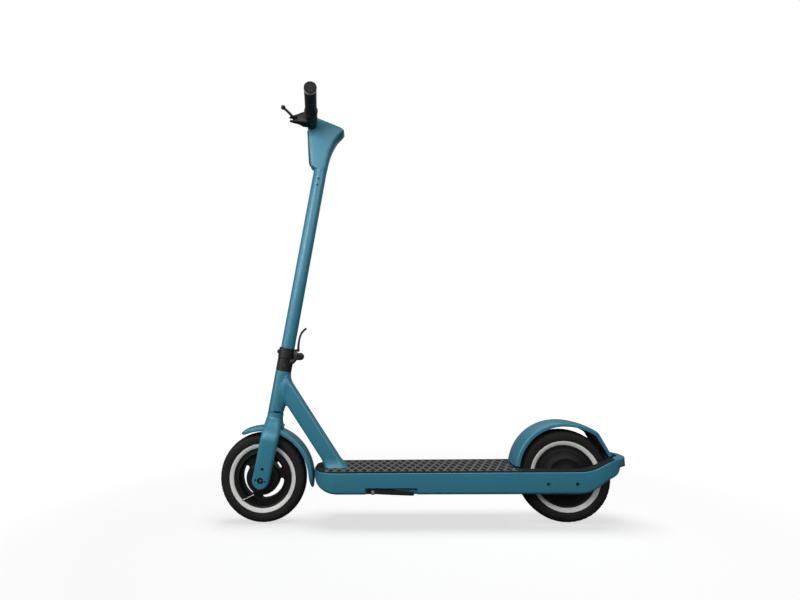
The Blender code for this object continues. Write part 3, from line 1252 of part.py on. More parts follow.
def make_handlebar(fold):
    loops = []
    inner_loops = []
    for y, back, turn in bar_centres():
        centre = Vector((BAR_BACK + back * cos(LEAN), y, BAR_HEIGHT + back * sin(LEAN)))
        aside = Vector((cos(turn) * cos(LEAN), -sin(turn), cos(turn) * sin(LEAN)))
        up = Vector((-sin(LEAN), 0, cos(LEAN)))
        for radius, found in ((BAR_RADIUS, loops), (BAR_BORE, inner_loops)):
            loop = []
            for k in range(BAR_STEPS):
                angle = 2 * pi * k / BAR_STEPS
                loop.append(centre + radius * (cos(angle) * aside + sin(angle) * up))
            found.append(loop)
    bm = bmesh.new()
    outer = [[bm.verts.new(point) for point in loop] for loop in loops]
    inner = [[bm.verts.new(point) for point in loop] for loop in inner_loops]
    for rows in (outer, inner):
        for low, high in zip(rows, rows[1:]):
            for k in range(BAR_STEPS):
                after = (k + 1) % BAR_STEPS
                bm.faces.new((low[k], low[after], high[after], high[k]))
    for end in (0, -1):
        for k in range(BAR_STEPS):
            after = (k + 1) % BAR_STEPS
            bm.faces.new((outer[end][k], outer[end][after], inner[end][after], inner[end][k]))
    bmesh.ops.recalc_face_normals(bm, faces=bm.faces)
    part("handlebar", bm, BLACK_METAL, fold.empty, drawn_in=fold.drawn_in)


def make_grips(fold):
    bore = (BAR_RADIUS + GAP) / cos(pi / GRIP_STEPS)
    for name, side in (("grip_left", -1), ("grip_right", 1)):
        arm = BarSide(side)
        inner_end = BAR_ARM_LENGTH + 0.0008 - GRIP_LENGTH
        outer_end = inner_end + GRIP_LENGTH
        cap = outer_end + GRIP_END_THICKNESS
        profile = [
            (0, outer_end),
            (bore, outer_end),
            (bore, inner_end),
            (GRIP_FLANGE_RADIUS, inner_end),
            (GRIP_FLANGE_RADIUS, inner_end + 0.0045),
            (GRIP_RADIUS, inner_end + 0.0070),
            (GRIP_RADIUS, outer_end),
            (GRIP_RADIUS + 0.0010, cap - 0.0012),
            (GRIP_RADIUS - 0.0006, cap),
            (0, cap),
        ]
        grip = moved(lathe(profile, "Z", steps=GRIP_STEPS), arm.frame)
        part(name, grip, RUBBER, fold.empty, drawn_in=fold.drawn_in)


def make_brake_lever(fold):
    """In the arm's frame X is forward, Z outward along the grip and Y the lever's pivot axis."""
    arm = BarSide(-1)
    along = BRAKE_PIVOT_ALONG
    forward = BRAKE_PIVOT_FORWARD
    tip = BRAKE_TIP_FORWARD
    low, high = 0.0020, BRAKE_CLAMP_END
    clamp = [(BAR_RADIUS + GAP, low), (0.0185, low), (0.0195, low + 0.001), (0.0195, high - 0.001), (0.0185, high)]
    clamp.append((BAR_RADIUS + GAP, high))
    ring = lathe(clamp, "Z", steps=20)
    loops = []
    for x, half, near, far in (
        (0.0100, 0.0186, low + 0.0010, high - 0.0010),
        (0.0260, 0.0168, low + 0.0030, high - 0.0015),
        (forward - 0.0110, 0.0130, along - 0.0140, along + 0.0085),
        (forward + 0.0055, 0.0098, along - 0.0085, along + 0.0070),
        (tip - 0.0035, 0.0084, along - 0.0058, along + 0.0052),
        (tip, 0.0070, along - 0.0030, along + 0.0030),
    ):
        points = rounded_box_loop((-half, near), (half, far), (0.0030,) * 4, 2)
        loops.append([(x, y, z) for y, z in points])
    wedge = closed_loft(loops)
    slot = box((forward - 0.0085, -BRAKE_SLOT_HALF, low - 0.01), (tip + 0.01, BRAKE_SLOT_HALF, high + 0.01))
    pin = disc(BRAKE_PIN_RADIUS, -0.0070, 0.0070, "Y", (forward, 0, along), 14)
    barrel = disc(0.0042, -0.0120, 0.0100, "Z", (0.0340, 0, along - 0.0130), 14)
    perch = part("brake_perch", moved(wedge, arm.frame), BLACK_METAL, fold.empty, drawn_in=fold.drawn_in,
                 joins=[moved(mesh, arm.frame) for mesh in (ring, barrel)])
    shape_with(perch, moved(slot, arm.frame))
    shape_with(perch, moved(pin, arm.frame), "UNION")
    clear = moved(disc(BAR_RADIUS + GAP, low - 0.01, high + 0.01, "Z", steps=20), arm.frame)
    shape_with(perch, clear)

    hub_half = BRAKE_SLOT_HALF - GAP - 0.0001
    hub = tube_ring(BRAKE_PIN_RADIUS + GAP, 0.0062, -hub_half, hub_half, "Y", (forward, 0, along), 20)
    ball = (forward + BRAKE_BALL_FORWARD, along + BRAKE_BALL_ALONG)
    spine = [(forward + 0.0020, along + 0.0035), (forward + 0.0058, along + 0.016), (forward + 0.0122, along + 0.034)]
    spine += [(forward + 0.0204, along + 0.054), (ball[0] - 0.0012, ball[1] - 0.003)]
    widths = (0.0030, 0.0028, 0.0026, 0.0025, 0.0024)
    sections = []
    for k, (x, z) in enumerate(spine):
        ahead = spine[min(k + 1, len(spine) - 1)]
        behind = spine[max(k - 1, 0)]
        run = Vector((ahead[0] - behind[0], ahead[1] - behind[1])).normalized()
        w = widths[k]
        h = 0.0040
        corners = rounded_box_loop((-w, -h), (w, h), (0.0012,) * 4, 1)
        sections.append([(x + a * run.y, b, z - a * run.x) for a, b in corners])
    blade = closed_loft(sections)
    knob = bmesh.new()
    bmesh.ops.create_uvsphere(knob, u_segments=12, v_segments=8, radius=0.0068)
    moved(knob, Matrix.Translation((ball[0], 0, ball[1])))
    pivot = arm.frame @ Vector((forward, 0, along))
    part("brake_lever", moved(hub, arm.frame), BLACK_METAL, fold.empty, origin=tuple(pivot), drawn_in=fold.drawn_in,
         joins=[moved(blade, arm.frame), moved(knob, arm.frame)])


def make_bell(fold):
    arm = BarSide(-1)
    low = BRAKE_CLAMP_END + 0.0006
    high = BAR_ARM_LENGTH - GRIP_LENGTH - 0.0004
    middle = (low + high) / 2
    ring = tube_ring(BAR_RADIUS + GAP, 0.0180, low, high, "Z", steps=20)
    part("bell_ring", moved(ring, arm.frame), BLACK_METAL, fold.empty, drawn_in=fold.drawn_in)
    y0 = 0.0180 + GAP
    hub = disc(0.0036, y0 - 0.036 - 2 * GAP - 0.0040, -y0, "Y", (-0.004, 0, middle), 14)
    paddle = soft_box((-0.0180, -y0 - 0.0038, middle - 0.0030), (-0.0030, -y0 - 0.0010, middle + 0.0030), 0.001, "Y", 1)
    pivot = arm.frame @ Vector((-0.004, 0, middle))
    part("bell_striker", moved(hub, arm.frame), BLACK_PLASTIC, fold.empty, origin=tuple(pivot), drawn_in=fold.drawn_in,
         joins=[moved(paddle, arm.frame)])


def make_throttle(fold):
    arm = BarSide(1)
    high = BAR_ARM_LENGTH - GRIP_LENGTH - 0.0004
    low = high - 0.026
    body = [
        (BAR_RADIUS + GAP, low),
        (0.0190, low),
        (0.0190, low + 0.007),
        (0.0160, low + 0.008),
        (0.0160, low + 0.018),
        (0.0190, low + 0.019),
        (0.0190, high),
        (BAR_RADIUS + GAP, high),
    ]
    part("throttle_body", moved(lathe(body, "Z", steps=20), arm.frame), BLACK_PLASTIC, fold.empty, drawn_in=fold.drawn_in)
    ring = tube_ring(0.0160 + GAP, 0.0192, low + 0.0085, low + 0.0175, "Z", steps=20)
    outline = [(-0.0140, low + 0.0085), (-0.0140, low + 0.0175), (-0.0210, low + 0.0175), (-0.0350, low + 0.0260)]
    outline += [(-0.0410, low + 0.0220), (-0.0400, low + 0.0130), (-0.0300, low + 0.0085)]
    paddle = prism_y(outline, 0.0055, 0.0105)
    centre = arm.frame @ Vector((0, 0, low + 0.013))
    lever = part("throttle_lever", moved(ring, arm.frame), BLACK_PLASTIC, fold.empty, origin=tuple(centre),
                 drawn_in=fold.drawn_in, joins=[moved(paddle, arm.frame)])
    shape_with(lever, moved(disc(0.0160 + GAP, low, high, "Z", steps=20), arm.frame))


# Kickstand

def make_kickstand(chassis):
    x, y, z = STAND_PIVOT_X, STAND_PIVOT_Y, STAND_PIVOT_Z
    base = [(x - 0.0165, z - 0.0080), (x + 0.0140, z - 0.0080), (x + 0.0140, z + 0.0085), (x - 0.0165, z + 0.0085)]
    bracket = prism_y(base, STAND_WALL_Y - 0.0037, STAND_WALL_Y)
    pin = disc(STAND_PIN_RADIUS, -0.0885, -0.0740, "Y", (x, 0, z), 14)
    head = disc(0.0052, -0.0885, -0.0862, "Y", (x, 0, z), 16)
    part("kickstand_bracket", bracket, BLACK_METAL, chassis, joins=[pin, head])
    hub = tube_ring(STAND_PIN_RADIUS + GAP, 0.0076, -0.0858, -0.0748, "Y", (x, 0, z), 14)
    tip = x + STAND_LENGTH
    outline = [(x + 0.0030, z + 0.0060), (x + 0.0030, z - 0.0055), (x + 0.050, z - 0.0080), (tip - 0.012, z - 0.0098)]
    outline += [(tip - 0.002, z - 0.0100), (tip, z - 0.0078), (tip - 0.001, z - 0.0018), (x + 0.050, z + 0.0030)]
    leg = prism_y(outline, -0.0850, -0.0756)
    lever = part("kickstand_leg", hub, BLACK_METAL, chassis, origin=(x, y, z), joins=[leg])
    shape_with(lever, disc(STAND_PIN_RADIUS + GAP, -0.10, -0.05, "Y", (x, 0, z), 14))


class Frame:
    """A parent empty with the matrix that takes stem coordinates to it."""

    def __init__(self, empty, drawn_in):
        self.empty = empty
        self.drawn_in = drawn_in


def main():
    clear_scene()
    chassis = make_empty("chassis", None, Matrix())
    steer = make_empty("steering", None, STEM_FRAME)
    front_spin = make_empty("front_wheel_spin", steer, Matrix())
    rear_spin = make_empty("rear_wheel_spin", None, Matrix.Translation((REAR_AXLE_X, 0, WHEEL_RADIUS)))
    fold_place = Matrix.Translation((FOLD_PIN_BACK, 0, FOLD_PIN_HEIGHT))
    fold = Frame(make_empty("stem_fold", steer, fold_place), fold_place.inverted())
    make_deck(chassis)
    make_charge_port(chassis)
    make_tail(chassis)
    make_rear_fender(chassis)
    make_neck(chassis)
    make_rear_axle(chassis)
    make_kickstand(chassis)
    make_rear_wheel(rear_spin)
    make_fork(steer)
    make_front_fender(steer)
    make_front_axle(steer)
    make_drum_brake(steer)
    make_front_wheel(front_spin)
    make_hinge_blocks(steer, fold)
    make_fold_lever(fold)
    make_stem(fold)
    make_display(fold)
    make_handlebar(fold)
    make_grips(fold)
    make_brake_lever(fold)
    make_bell(fold)
    make_throttle(fold)


main()
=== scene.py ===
"""The look of the electric scooter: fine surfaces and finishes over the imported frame."""

import json
from math import atan2, cos, degrees, pi, radians, sin, sqrt, tan

import bmesh
import bpy
from mathutils import Matrix, Vector

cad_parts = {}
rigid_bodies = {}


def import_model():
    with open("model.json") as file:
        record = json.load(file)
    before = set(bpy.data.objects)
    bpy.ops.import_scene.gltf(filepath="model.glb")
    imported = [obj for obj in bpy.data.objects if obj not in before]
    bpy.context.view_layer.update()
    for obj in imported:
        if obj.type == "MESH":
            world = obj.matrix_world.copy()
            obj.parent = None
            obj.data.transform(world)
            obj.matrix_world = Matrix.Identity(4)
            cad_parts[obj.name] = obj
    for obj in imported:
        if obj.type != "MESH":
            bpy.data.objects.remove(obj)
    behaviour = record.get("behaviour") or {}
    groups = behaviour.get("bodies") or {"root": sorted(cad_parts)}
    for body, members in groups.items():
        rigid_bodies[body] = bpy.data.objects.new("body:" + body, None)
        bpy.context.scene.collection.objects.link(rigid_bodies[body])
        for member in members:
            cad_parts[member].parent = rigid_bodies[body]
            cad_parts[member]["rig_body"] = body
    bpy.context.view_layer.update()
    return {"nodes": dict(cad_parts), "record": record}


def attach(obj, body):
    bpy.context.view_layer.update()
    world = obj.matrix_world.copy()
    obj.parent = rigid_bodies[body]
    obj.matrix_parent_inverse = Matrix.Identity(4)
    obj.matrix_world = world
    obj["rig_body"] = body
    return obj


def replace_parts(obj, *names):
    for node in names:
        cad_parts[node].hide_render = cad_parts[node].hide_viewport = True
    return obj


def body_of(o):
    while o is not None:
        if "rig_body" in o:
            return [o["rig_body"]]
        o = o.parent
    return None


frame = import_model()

# Sizes repeated from the model's source, in metres
FRONT_AXLE_X = -0.4486
REAR_AXLE_X = 0.4094
WHEEL_RADIUS = 0.127
SEAT_RADIUS = 0.0762
FLANGE_RADIUS = 0.084
SLOT_INNER_RADIUS = 0.0485
SLOT_OUTER_RADIUS = 0.0615
SLOT_ANGLES = (-38.5, 81.5, 201.5)
SLOT_SPAN = 92
BEARING_RADIUS = 0.014
DECK_NOSE_X = -0.2975
DECK_NOSE_LENGTH = 0.07
DECK_HALF_WIDTH = 0.083
DECK_TOP = 0.1515
DECK_BOTTOM = 0.0932
NOSE_RISE = 0.04
TAIL_START_X = 0.4395
TAIL_END_X = 0.5755
TAIL_TOP = 0.1808
TAIL_BOTTOM = 0.156
TAIL_LIGHT_X = 0.5655
WHEEL_SLOT_HALF_WIDTH = 0.05
WHEEL_SLOT_FRONT = REAR_AXLE_X - WHEEL_RADIUS - 0.012
WHEEL_SLOT_REAR = REAR_AXLE_X + WHEEL_RADIUS + 0.01
MAT_THICKNESS = 0.003
MAT_REAR_X = 0.527
LEAN = radians(11.07)
NECK_RADIUS = 0.0237
NECK_BOTTOM = 0.1885
NECK_TOP = 0.312
DOWN_TUBE_HALF_WIDTH = 0.0235
DOWN_TUBE_CORNER = 0.0105
DOWN_TUBE_FLARE = 0.0075
FORK_HALF_WIDTH = 0.06
FORK_SLOT_HALF_WIDTH = 0.038
FORK_END_RADIUS = 0.0245
FORK_ARCH_TOP = 0.158
FENDER_RADIUS = 0.1468
FENDER_SKIRT_RADIUS = 0.133
FENDER_HALF_WIDTH = 0.0335
REAR_FENDER_RADIUS = WHEEL_RADIUS + 0.017
REAR_FENDER_RAISE = 0.008
REAR_FENDER_SWELL = 0.0115
REAR_FENDER_BEND = 49.5
REAR_FENDER_DEPTH = 0.0137
REAR_FENDER_FOOT_DEPTH = 0.0112
REAR_FENDER_HALF_WIDTH = 0.0405
HINGE_SPLIT = 0.35
HINGE_TOP = 0.3815
HINGE_RADIUS = 0.0247
FOLD_PIN = (0.0405, 0.3625)
LUG_RADIUS = 0.0113
LEVER_PIN = (0.032, 0.38)
TUBE_RADIUS = 0.0207
TUBE_TOP = 0.9392
HEADLIGHT_HEIGHT = 1.0237
HEAD_TOP_AT_AXIS = 1.0943
HEAD_TOP_SLOPE = 0.263
STEM_SCREW_HEIGHTS = (0.8943, 0.9142)
BUTTON_X = 0.042
BAR_BACK = -0.0495
BAR_HEIGHT = 1.0815
BAR_RADIUS = 0.0125
BAR_SWEEP = radians(5.3)
BAR_BEND_START = 0.034
BAR_BEND_RADIUS = 0.09
BAR_ARM_LENGTH = 0.198
GRIP_RADIUS = 0.0176
GRIP_LENGTH = 0.129
GRIP_END_THICKNESS = 0.0055
BRAKE_DROP = radians(24)
STAND_PIVOT = (-0.1305, -0.079, 0.1027)
STEM = Matrix.Translation((FRONT_AXLE_X, 0, WHEEL_RADIUS)) @ Matrix.Rotation(LEAN, 4, "Y")
STEM_INVERSE = STEM.inverted()
FRONT_AXLE = (FRONT_AXLE_X, 0, WHEEL_RADIUS)
REAR_AXLE = (REAR_AXLE_X, 0, WHEEL_RADIUS)

# Bolts in the deck's sides, as distances behind the rear axle and one height
DECK_BOLTS = (-0.0674, 0.0089)
DECK_BOLT_HEIGHT = 0.1206

# Screws in the fork's legs, along and above the axle in the stem's own frame
LEG_SCREWS = (-0.014, 0.014)
LEG_SCREW_HEIGHT = 0.0325

# Faces round a full turn, and along the tyre's tread
ROUND = 96
TREAD_STEPS = 432

SIDES = ((-1, "left"), (1, "right"))


# Materials

class Nodes:
    """A node tree, with short ways to add nodes and link them."""

    def __init__(self, owner, clear=False):
        owner.use_nodes = True
        self.tree = owner.node_tree
        if clear:
            self.tree.nodes.clear()

    def fill(self, node, inputs):
        """Sets a node's inputs by name or number, to values or to what other nodes give."""
        for socket, value in inputs.items():
            if isinstance(value, bpy.types.NodeSocket):
                self.tree.links.new(value, node.inputs[socket])
            else:
                node.inputs[socket].default_value = value

    def add(self, kind, inputs, **settings):
        node = self.tree.nodes.new("ShaderNode" + kind)
        for name, value in settings.items():
            setattr(node, name, value)
        self.fill(node, inputs)
        return node

    def maths(self, operation, *values):
        return self.add("Math", dict(enumerate(values)), operation=operation).outputs[0]


class Look(Nodes):
    """A material with its shader. Its textures are fixed to the piece."""

    def __init__(self, name, **sockets):
        self.material = bpy.data.materials.new(name)
        super().__init__(self.material)
        self.shader = self.tree.nodes["Principled BSDF"]
        self.fill(self.shader, {socket.replace("_", " "): value for socket, value in sockets.items()})
        self.place = self.add("TexCoord", {}).outputs["Object"]

    def noise(self, scale, detail=3.0, stretch=None):
        where = self.place
        if stretch:
            where = self.add("Mapping", {"Scale": stretch, "Vector": where}).outputs["Vector"]
        return self.add("TexNoise", {"Scale": scale, "Detail": detail, "Vector": where}).outputs["Fac"]

    def axis(self, name):
        return self.add("SeparateXYZ", {0: self.place}).outputs[name]

    def ramp(self, source, *stops):
        node = self.add("ValToRGB", {"Fac": source})
        for element, (position, value) in zip(node.color_ramp.elements, stops):
            element.position = position
            element.color = (*value, 1)
        return node.outputs["Color"]

    def colour(self, source):
        self.fill(self.shader, {"Base Color": source})

    def rough(self, source, low, high):
        node = self.add("MapRange", {"Value": source, "To Min": low, "To Max": high})
        self.fill(self.shader, {"Roughness": node.outputs["Result"]})

    def bump(self, source, distance, strength=1.0):
        """Adds a bump on top of those that the shader has."""
        node = self.add("Bump", {"Distance": distance, "Strength": strength, "Height": source})
        normal = self.shader.inputs["Normal"]
        if normal.is_linked:
            self.fill(node, {"Normal": normal.links[0].from_socket})
        self.fill(self.shader, {"Normal": node.outputs["Normal"]})


def shade(colour, factor):
    return tuple(channel * factor for channel in colour)


def grained(name, noise, low, high, rough, bump=None, rough_noise=None, bump_noise=None, **sockets):
    """A material whose colour, roughness and bump follow one noise, unless they are given their own."""
    look = Look(name, **sockets)
    grain = look.noise(*noise)
    look.colour(look.ramp(grain, low, high))
    look.rough(look.noise(*rough_noise) if rough_noise else grain, *rough)
    if bump:
        look.bump(look.noise(*bump_noise) if bump_noise else grain, *bump)
    return look.material


def make_black(name, colour, rough, scale, depth, metallic=0.0, specular=0.5):
    return grained(name, (14, 4), (0.35, shade(colour, 0.82)), (0.68, shade(colour, 1.2)), rough,
                   (depth, 0.5), (90, 5), (scale, 2), Metallic=metallic, Specular_IOR_Level=specular)


def make_steel(name, colour, rough):
    return grained(name, (120, 4, (1, 14, 1)), (0.3, shade(colour, 0.85)), (0.7, shade(colour, 1.08)),
                   rough, (0.00005, 0.4), Metallic=1.0)


def make_mat_rubber():
    """Rubber whose top is a net of diamonds, inside a plain border and plain beside the wheel."""
    diamond_length, diamond_width = 0.0235, 0.06
    look = Look("mat_rubber", Specular_IOR_Level=0.3)
    x, y = look.axis("X"), look.axis("Y")
    along = look.maths("MULTIPLY", x, 1 / diamond_length)
    across = look.maths("MULTIPLY", y, 1 / diamond_width)
    ribs = []
    for operation in ("ADD", "SUBTRACT"):
        share = look.maths("FRACT", look.maths(operation, along, across))
        ribs.append(look.maths("ABSOLUTE", look.maths("SUBTRACT", share, 0.5)))
    net = look.ramp(look.maths("MAXIMUM", *ribs), (0.335, (0, 0, 0)), (0.395, (1, 1, 1)))
    for inside in (look.maths("LESS_THAN", x, REAR_AXLE_X - 0.133),
                   look.maths("LESS_THAN", look.maths("ABSOLUTE", y), DECK_HALF_WIDTH - 0.0085),
                   look.maths("GREATER_THAN", x, DECK_NOSE_X + 0.035)):
        net = look.maths("MULTIPLY", net, inside)
    grain = look.noise(420.0, 4.0)
    # The ribs are painted lighter than the near-black cells and border: painted sheen on the rib tops, with a
    # fine grain.
    rib_sheen = look.ramp(grain, (0.3, (0.115, 0.115, 0.112)), (0.72, (0.185, 0.181, 0.174)))
    dark = (0.012, 0.012, 0.012, 1.0)
    look.colour(look.add("Mix", {"Factor": net, 6: dark, 7: rib_sheen}, data_type="RGBA").outputs[2])
    look.rough(grain, 0.72, 0.9)
    look.bump(net, 0.0012)
    look.bump(look.noise(1600.0), 0.0002, 0.6)
    return look.material


def make_winding():
    look = Look("copper_winding", Metallic=1.0)
    wires = look.add("TexWave", {"Scale": 260.0, "Vector": look.place},
                     bands_direction="DIAGONAL").outputs["Fac"]
    look.colour(look.ramp(wires, (0.2, (0.2, 0.07, 0.03)), (0.8, (0.52, 0.23, 0.11))))
    look.rough(wires, 0.3, 0.5)
    look.bump(wires, 0.0004)
    return look.material


def make_lens(name, colour, roughness, transmission, depth):
    """A moulded lens with fine upright flutes."""
    flute_width = 0.0032
    look = Look(name, Roughness=roughness, Transmission_Weight=transmission,
                Coat_Weight=0.6, Coat_Roughness=0.04)
    look.colour(look.ramp(look.noise(30.0, 2.0), (0.3, shade(colour, 0.9)), (0.7, shade(colour, 1.1))))
    look.bump(look.maths("SINE", look.maths("MULTIPLY", look.axis("Y"), 2 * pi / flute_width)), depth, 0.6)
    return look.material


TEAL = (0.04, 0.235, 0.335)
BLACK_METAL = make_black("black_powder_coat", (0.02, 0.0196, 0.019), (0.34, 0.48), 1300, 0.0001, 0.25, 0.42)
CAST_BLACK = make_black("cast_black", (0.0085, 0.0085, 0.008), (0.36, 0.52), 700, 0.00012, 0.2, 0.4)
END_RUBBER = make_black("end_cap_rubber", (0.007, 0.007, 0.007), (0.5, 0.66), 800, 0.00012, 0, 0.3)
STEEL_DARK = make_black("dark_zinc", (0.06, 0.058, 0.054), (0.28, 0.42), 900, 0.00006, 0.4, 0.5)
BAND_METAL = make_black("pale_band", (0.62, 0.62, 0.61), (0.26, 0.36), 900, 0.00004, 0.2, 0.6)
PALE_METAL = make_steel("satin_aluminium", (0.66, 0.66, 0.65), (0.3, 0.44))
SIDEWALL = grained("pale_sidewall", (45, 6), (0.32, (0.8, 0.8, 0.785)), (0.66, (0.9, 0.9, 0.885)),
                   (0.5, 0.66), (0.0001, 0.4), bump_noise=(700, 2), Specular_IOR_Level=0.3)
SLOT_MATERIALS = {
    "teal_paint": grained("teal_satin_paint", (5, 2), (0.3, shade(TEAL, 0.95)), (0.7, shade(TEAL, 1.05)),
                          (0.36, 0.44), (0.00006, 0.35), (60, 4), (1400, 2), Metallic=0.12,
                          Coat_Weight=0.22, Coat_Roughness=0.22),
    "black_metal": BLACK_METAL,
    "black_plastic": make_black("black_plastic", (0.02, 0.02, 0.02), (0.42, 0.58), 1000, 0.00012, 0, 0.4),
    "grip_rubber": make_black("grip_rubber", (0.023, 0.023, 0.023), (0.48, 0.66), 800, 0.00015, 0, 0.45),
    "tyre_rubber": grained("tyre_rubber", (26, 6), (0.36, (0.0085, 0.0085, 0.008)),
                           (0.72, (0.0175, 0.0172, 0.0162)), (0.58, 0.78), (0.00012, 0.5),
                           bump_noise=(900, 3), Specular_IOR_Level=0.28),
    "mat_rubber": make_mat_rubber(),
    "steel": make_steel("brushed_steel", (0.56, 0.56, 0.57), (0.26, 0.42)),
    "copper_winding": make_winding(),
    "battery_wrap": grained("battery_wrap", (18, 5, (1, 3, 3)), (0.35, (0.02, 0.07, 0.21)),
                            (0.7, (0.04, 0.12, 0.31)), (0.25, 0.42), (0.001, 0.5)),
    "controller_case": make_steel("controller_case", (0.4, 0.41, 0.42), (0.36, 0.5)),
    "red_lens": make_lens("smoked_red_lens", (0.06, 0.004, 0.006), 0.12, 0, 0.0002),
    "clear_lens": make_lens("clear_lens", (0.8, 0.82, 0.84), 0.06, 0.85, 0.0001),
    "gloss_black": grained("display_glass", (9, 5), (0.3, (0.006, 0.006, 0.008)),
                           (0.7, (0.012, 0.012, 0.014)), (0.06, 0.14), Coat_Weight=0.5, Coat_Roughness=0.03),
}
NODE_SLOTS = {item["node"]: item["material_slot"] for item in frame["record"]["subparts"]}
NODE_BODIES = {node: body_of(obj)[0] for node, obj in frame["nodes"].items()}
for node, obj in frame["nodes"].items():
    obj.data.materials.clear()
    obj.data.materials.append(SLOT_MATERIALS[NODE_SLOTS[node]])


# Mesh helpers

ORDERS = {"X": lambda a, b, h: (h, a, b), "Y": lambda a, b, h: (a, h, b), "Z": lambda a, b, h: (a, b, h)}


def mm(*rows):
    """Rows of millimetres, as metres."""
    return [tuple(value / 1000 for value in row) for row in rows]


def raised(base, *rows):
    """A profile of (radius, height above a base) in millimetres, as metres."""
    return [(radius, base + height) for radius, height in mm(*rows)]


def mirrored(half):
    """A profile of (radius, height) with its mirror image below it."""
    return [(r, -y) for r, y in reversed(half)] + half


def span(side, near, far):
    """The low and the high end of a stretch on one side of the midplane."""
    return sorted((side * near, side * far))


def within(value, low=0.0, high=1.0):
    return min(high, max(low, value))


def loft(loops, capped=True):
    """Skins loops of equal length one after another, and caps the ends."""
    bm = bmesh.new()
    rows = [[bm.verts.new(point) for point in loop] for loop in loops]
    for lower, upper in zip(rows, rows[1:]):
        for k in range(len(lower)):
            after = (k + 1) % len(lower)
            bm.faces.new((lower[k], lower[after], upper[after], upper[k]))
    if capped:
        bm.faces.new(rows[0])
        bm.faces.new(rows[-1])
    bmesh.ops.recalc_face_normals(bm, faces=bm.faces)
    return bm


def rounded_loop(low, high, radii, steps=6):
    """A rectangle with round corners: one radius, or four from the lowest corner on."""
    (a0, b0), (a1, b1) = low, high
    most = 0.499 * min(a1 - a0, b1 - b0)
    radii = (radii,) * 4 if isinstance(radii, float) else radii
    points = []
    for (a, b, start), radius in zip(((a0, b0, 180), (a1, b0, 270), (a1, b1, 0), (a0, b1, 90)), radii):
        r = min(radius, most)
        centre = (a + r if a == a0 else a - r, b + r if b == b0 else b - r)
        points += arc(centre, r, start, start + 90, steps)
    return points


def section(axis, where, low, high, half, radii, steps):
    """A rounded rectangle across X from its bottom to its top, or across Z from its front to its rear."""
    corners = ((low, -half), (high, half)) if axis == "Z" else ((-half, low), (half, high))
    return [ORDERS[axis](a, b, where) for a, b in rounded_loop(*corners, radii, steps)]


def arc(centre, radius, start, end, steps):
    turns = [radians(start + (end - start) * k / steps) for k in range(steps + 1)]
    return [(centre[0] + radius * cos(turn), centre[1] + radius * sin(turn)) for turn in turns]


def heading(degree):
    return Vector((cos(radians(degree)), sin(radians(degree))))


def prism(outline, axis, low, high):
    return loft([[ORDERS[axis](a, b, h) for a, b in outline] for h in (low, high)])


def box(low, high, radius=None):
    """A box, with its upright edges rounded if it has a radius."""
    outline = rounded_loop(low[:2], high[:2], radius or 1e-5, 6 if radius else 1)
    return prism(outline, "Z", low[2], high[2])


def lathe(profile, axis="Y", centre=(0, 0, 0), steps=ROUND):
    """Turns a closed profile of (radius, height). Points at radius 0 become poles."""
    bm = bmesh.new()
    rows = []
    for radius, height in profile:
        points = arc((0, 0), radius, 0, 360, steps)[:-1] if radius > 1e-9 else [(0, 0)]
        rows.append([bm.verts.new(Vector(ORDERS[axis](a, b, height)) + Vector(centre)) for a, b in points])
    for a, b in zip(rows, rows[1:] + rows[:1]):
        for k in range(steps):
            after = (k + 1) % steps
            if len(a) > 1 and len(b) > 1:
                bm.faces.new((a[k], a[after], b[after], b[k]))
            elif len(b) > 1:
                bm.faces.new((a[0], b[after], b[k]))
            elif len(a) > 1:
                bm.faces.new((a[k], a[after], b[0]))
    bmesh.ops.recalc_face_normals(bm, faces=bm.faces)
    return bm


def disc(radius, low, high, axis="Y", centre=(0, 0, 0), steps=32):
    return tube(0, radius, low, high, axis, centre, steps)


def tube(inner, outer, low, high, axis="Y", centre=(0, 0, 0), steps=48):
    return lathe([(inner, low), (outer, low), (outer, high), (inner, high)], axis, centre, steps)


def moved(bm, matrix):
    bmesh.ops.transform(bm, matrix=matrix, verts=bm.verts)
    return bm


def joined(*meshes):
    whole = bmesh.new()
    for bm in meshes:
        mesh = bpy.data.meshes.new("joining")
        bm.to_mesh(mesh)
        bm.free()
        whole.from_mesh(mesh)
        bpy.data.meshes.remove(mesh)
    return whole


def eased(bm, width, segments=2, angle=30):
    """Rounds the edges that turn by more than an angle."""
    edges = [e for e in bm.edges if e.is_manifold and e.calc_face_angle(0.0) > radians(angle)]
    bmesh.ops.bevel(bm, geom=edges, offset=width, segments=segments, profile=0.5, affect="EDGES",
                    clamp_overlap=True)
    return bm


def ears(outline, near, far, width, segments):
    """Two eased plates, one on each side of the midplane."""
    return [eased(prism(outline, "Y", *span(side, near, far)), width, segments, 40) for side in (-1, 1)]


def sliced(bm, point, normal):
    geometry = bm.verts[:] + bm.edges[:] + bm.faces[:]
    result = bmesh.ops.bisect_plane(bm, geom=geometry, plane_co=point, plane_no=normal, clear_outer=True)
    edges = [item for item in result["geom_cut"] if isinstance(item, bmesh.types.BMEdge)]
    bmesh.ops.contextual_create(bm, geom=edges)
    bmesh.ops.recalc_face_normals(bm, faces=bm.faces)
    return bm


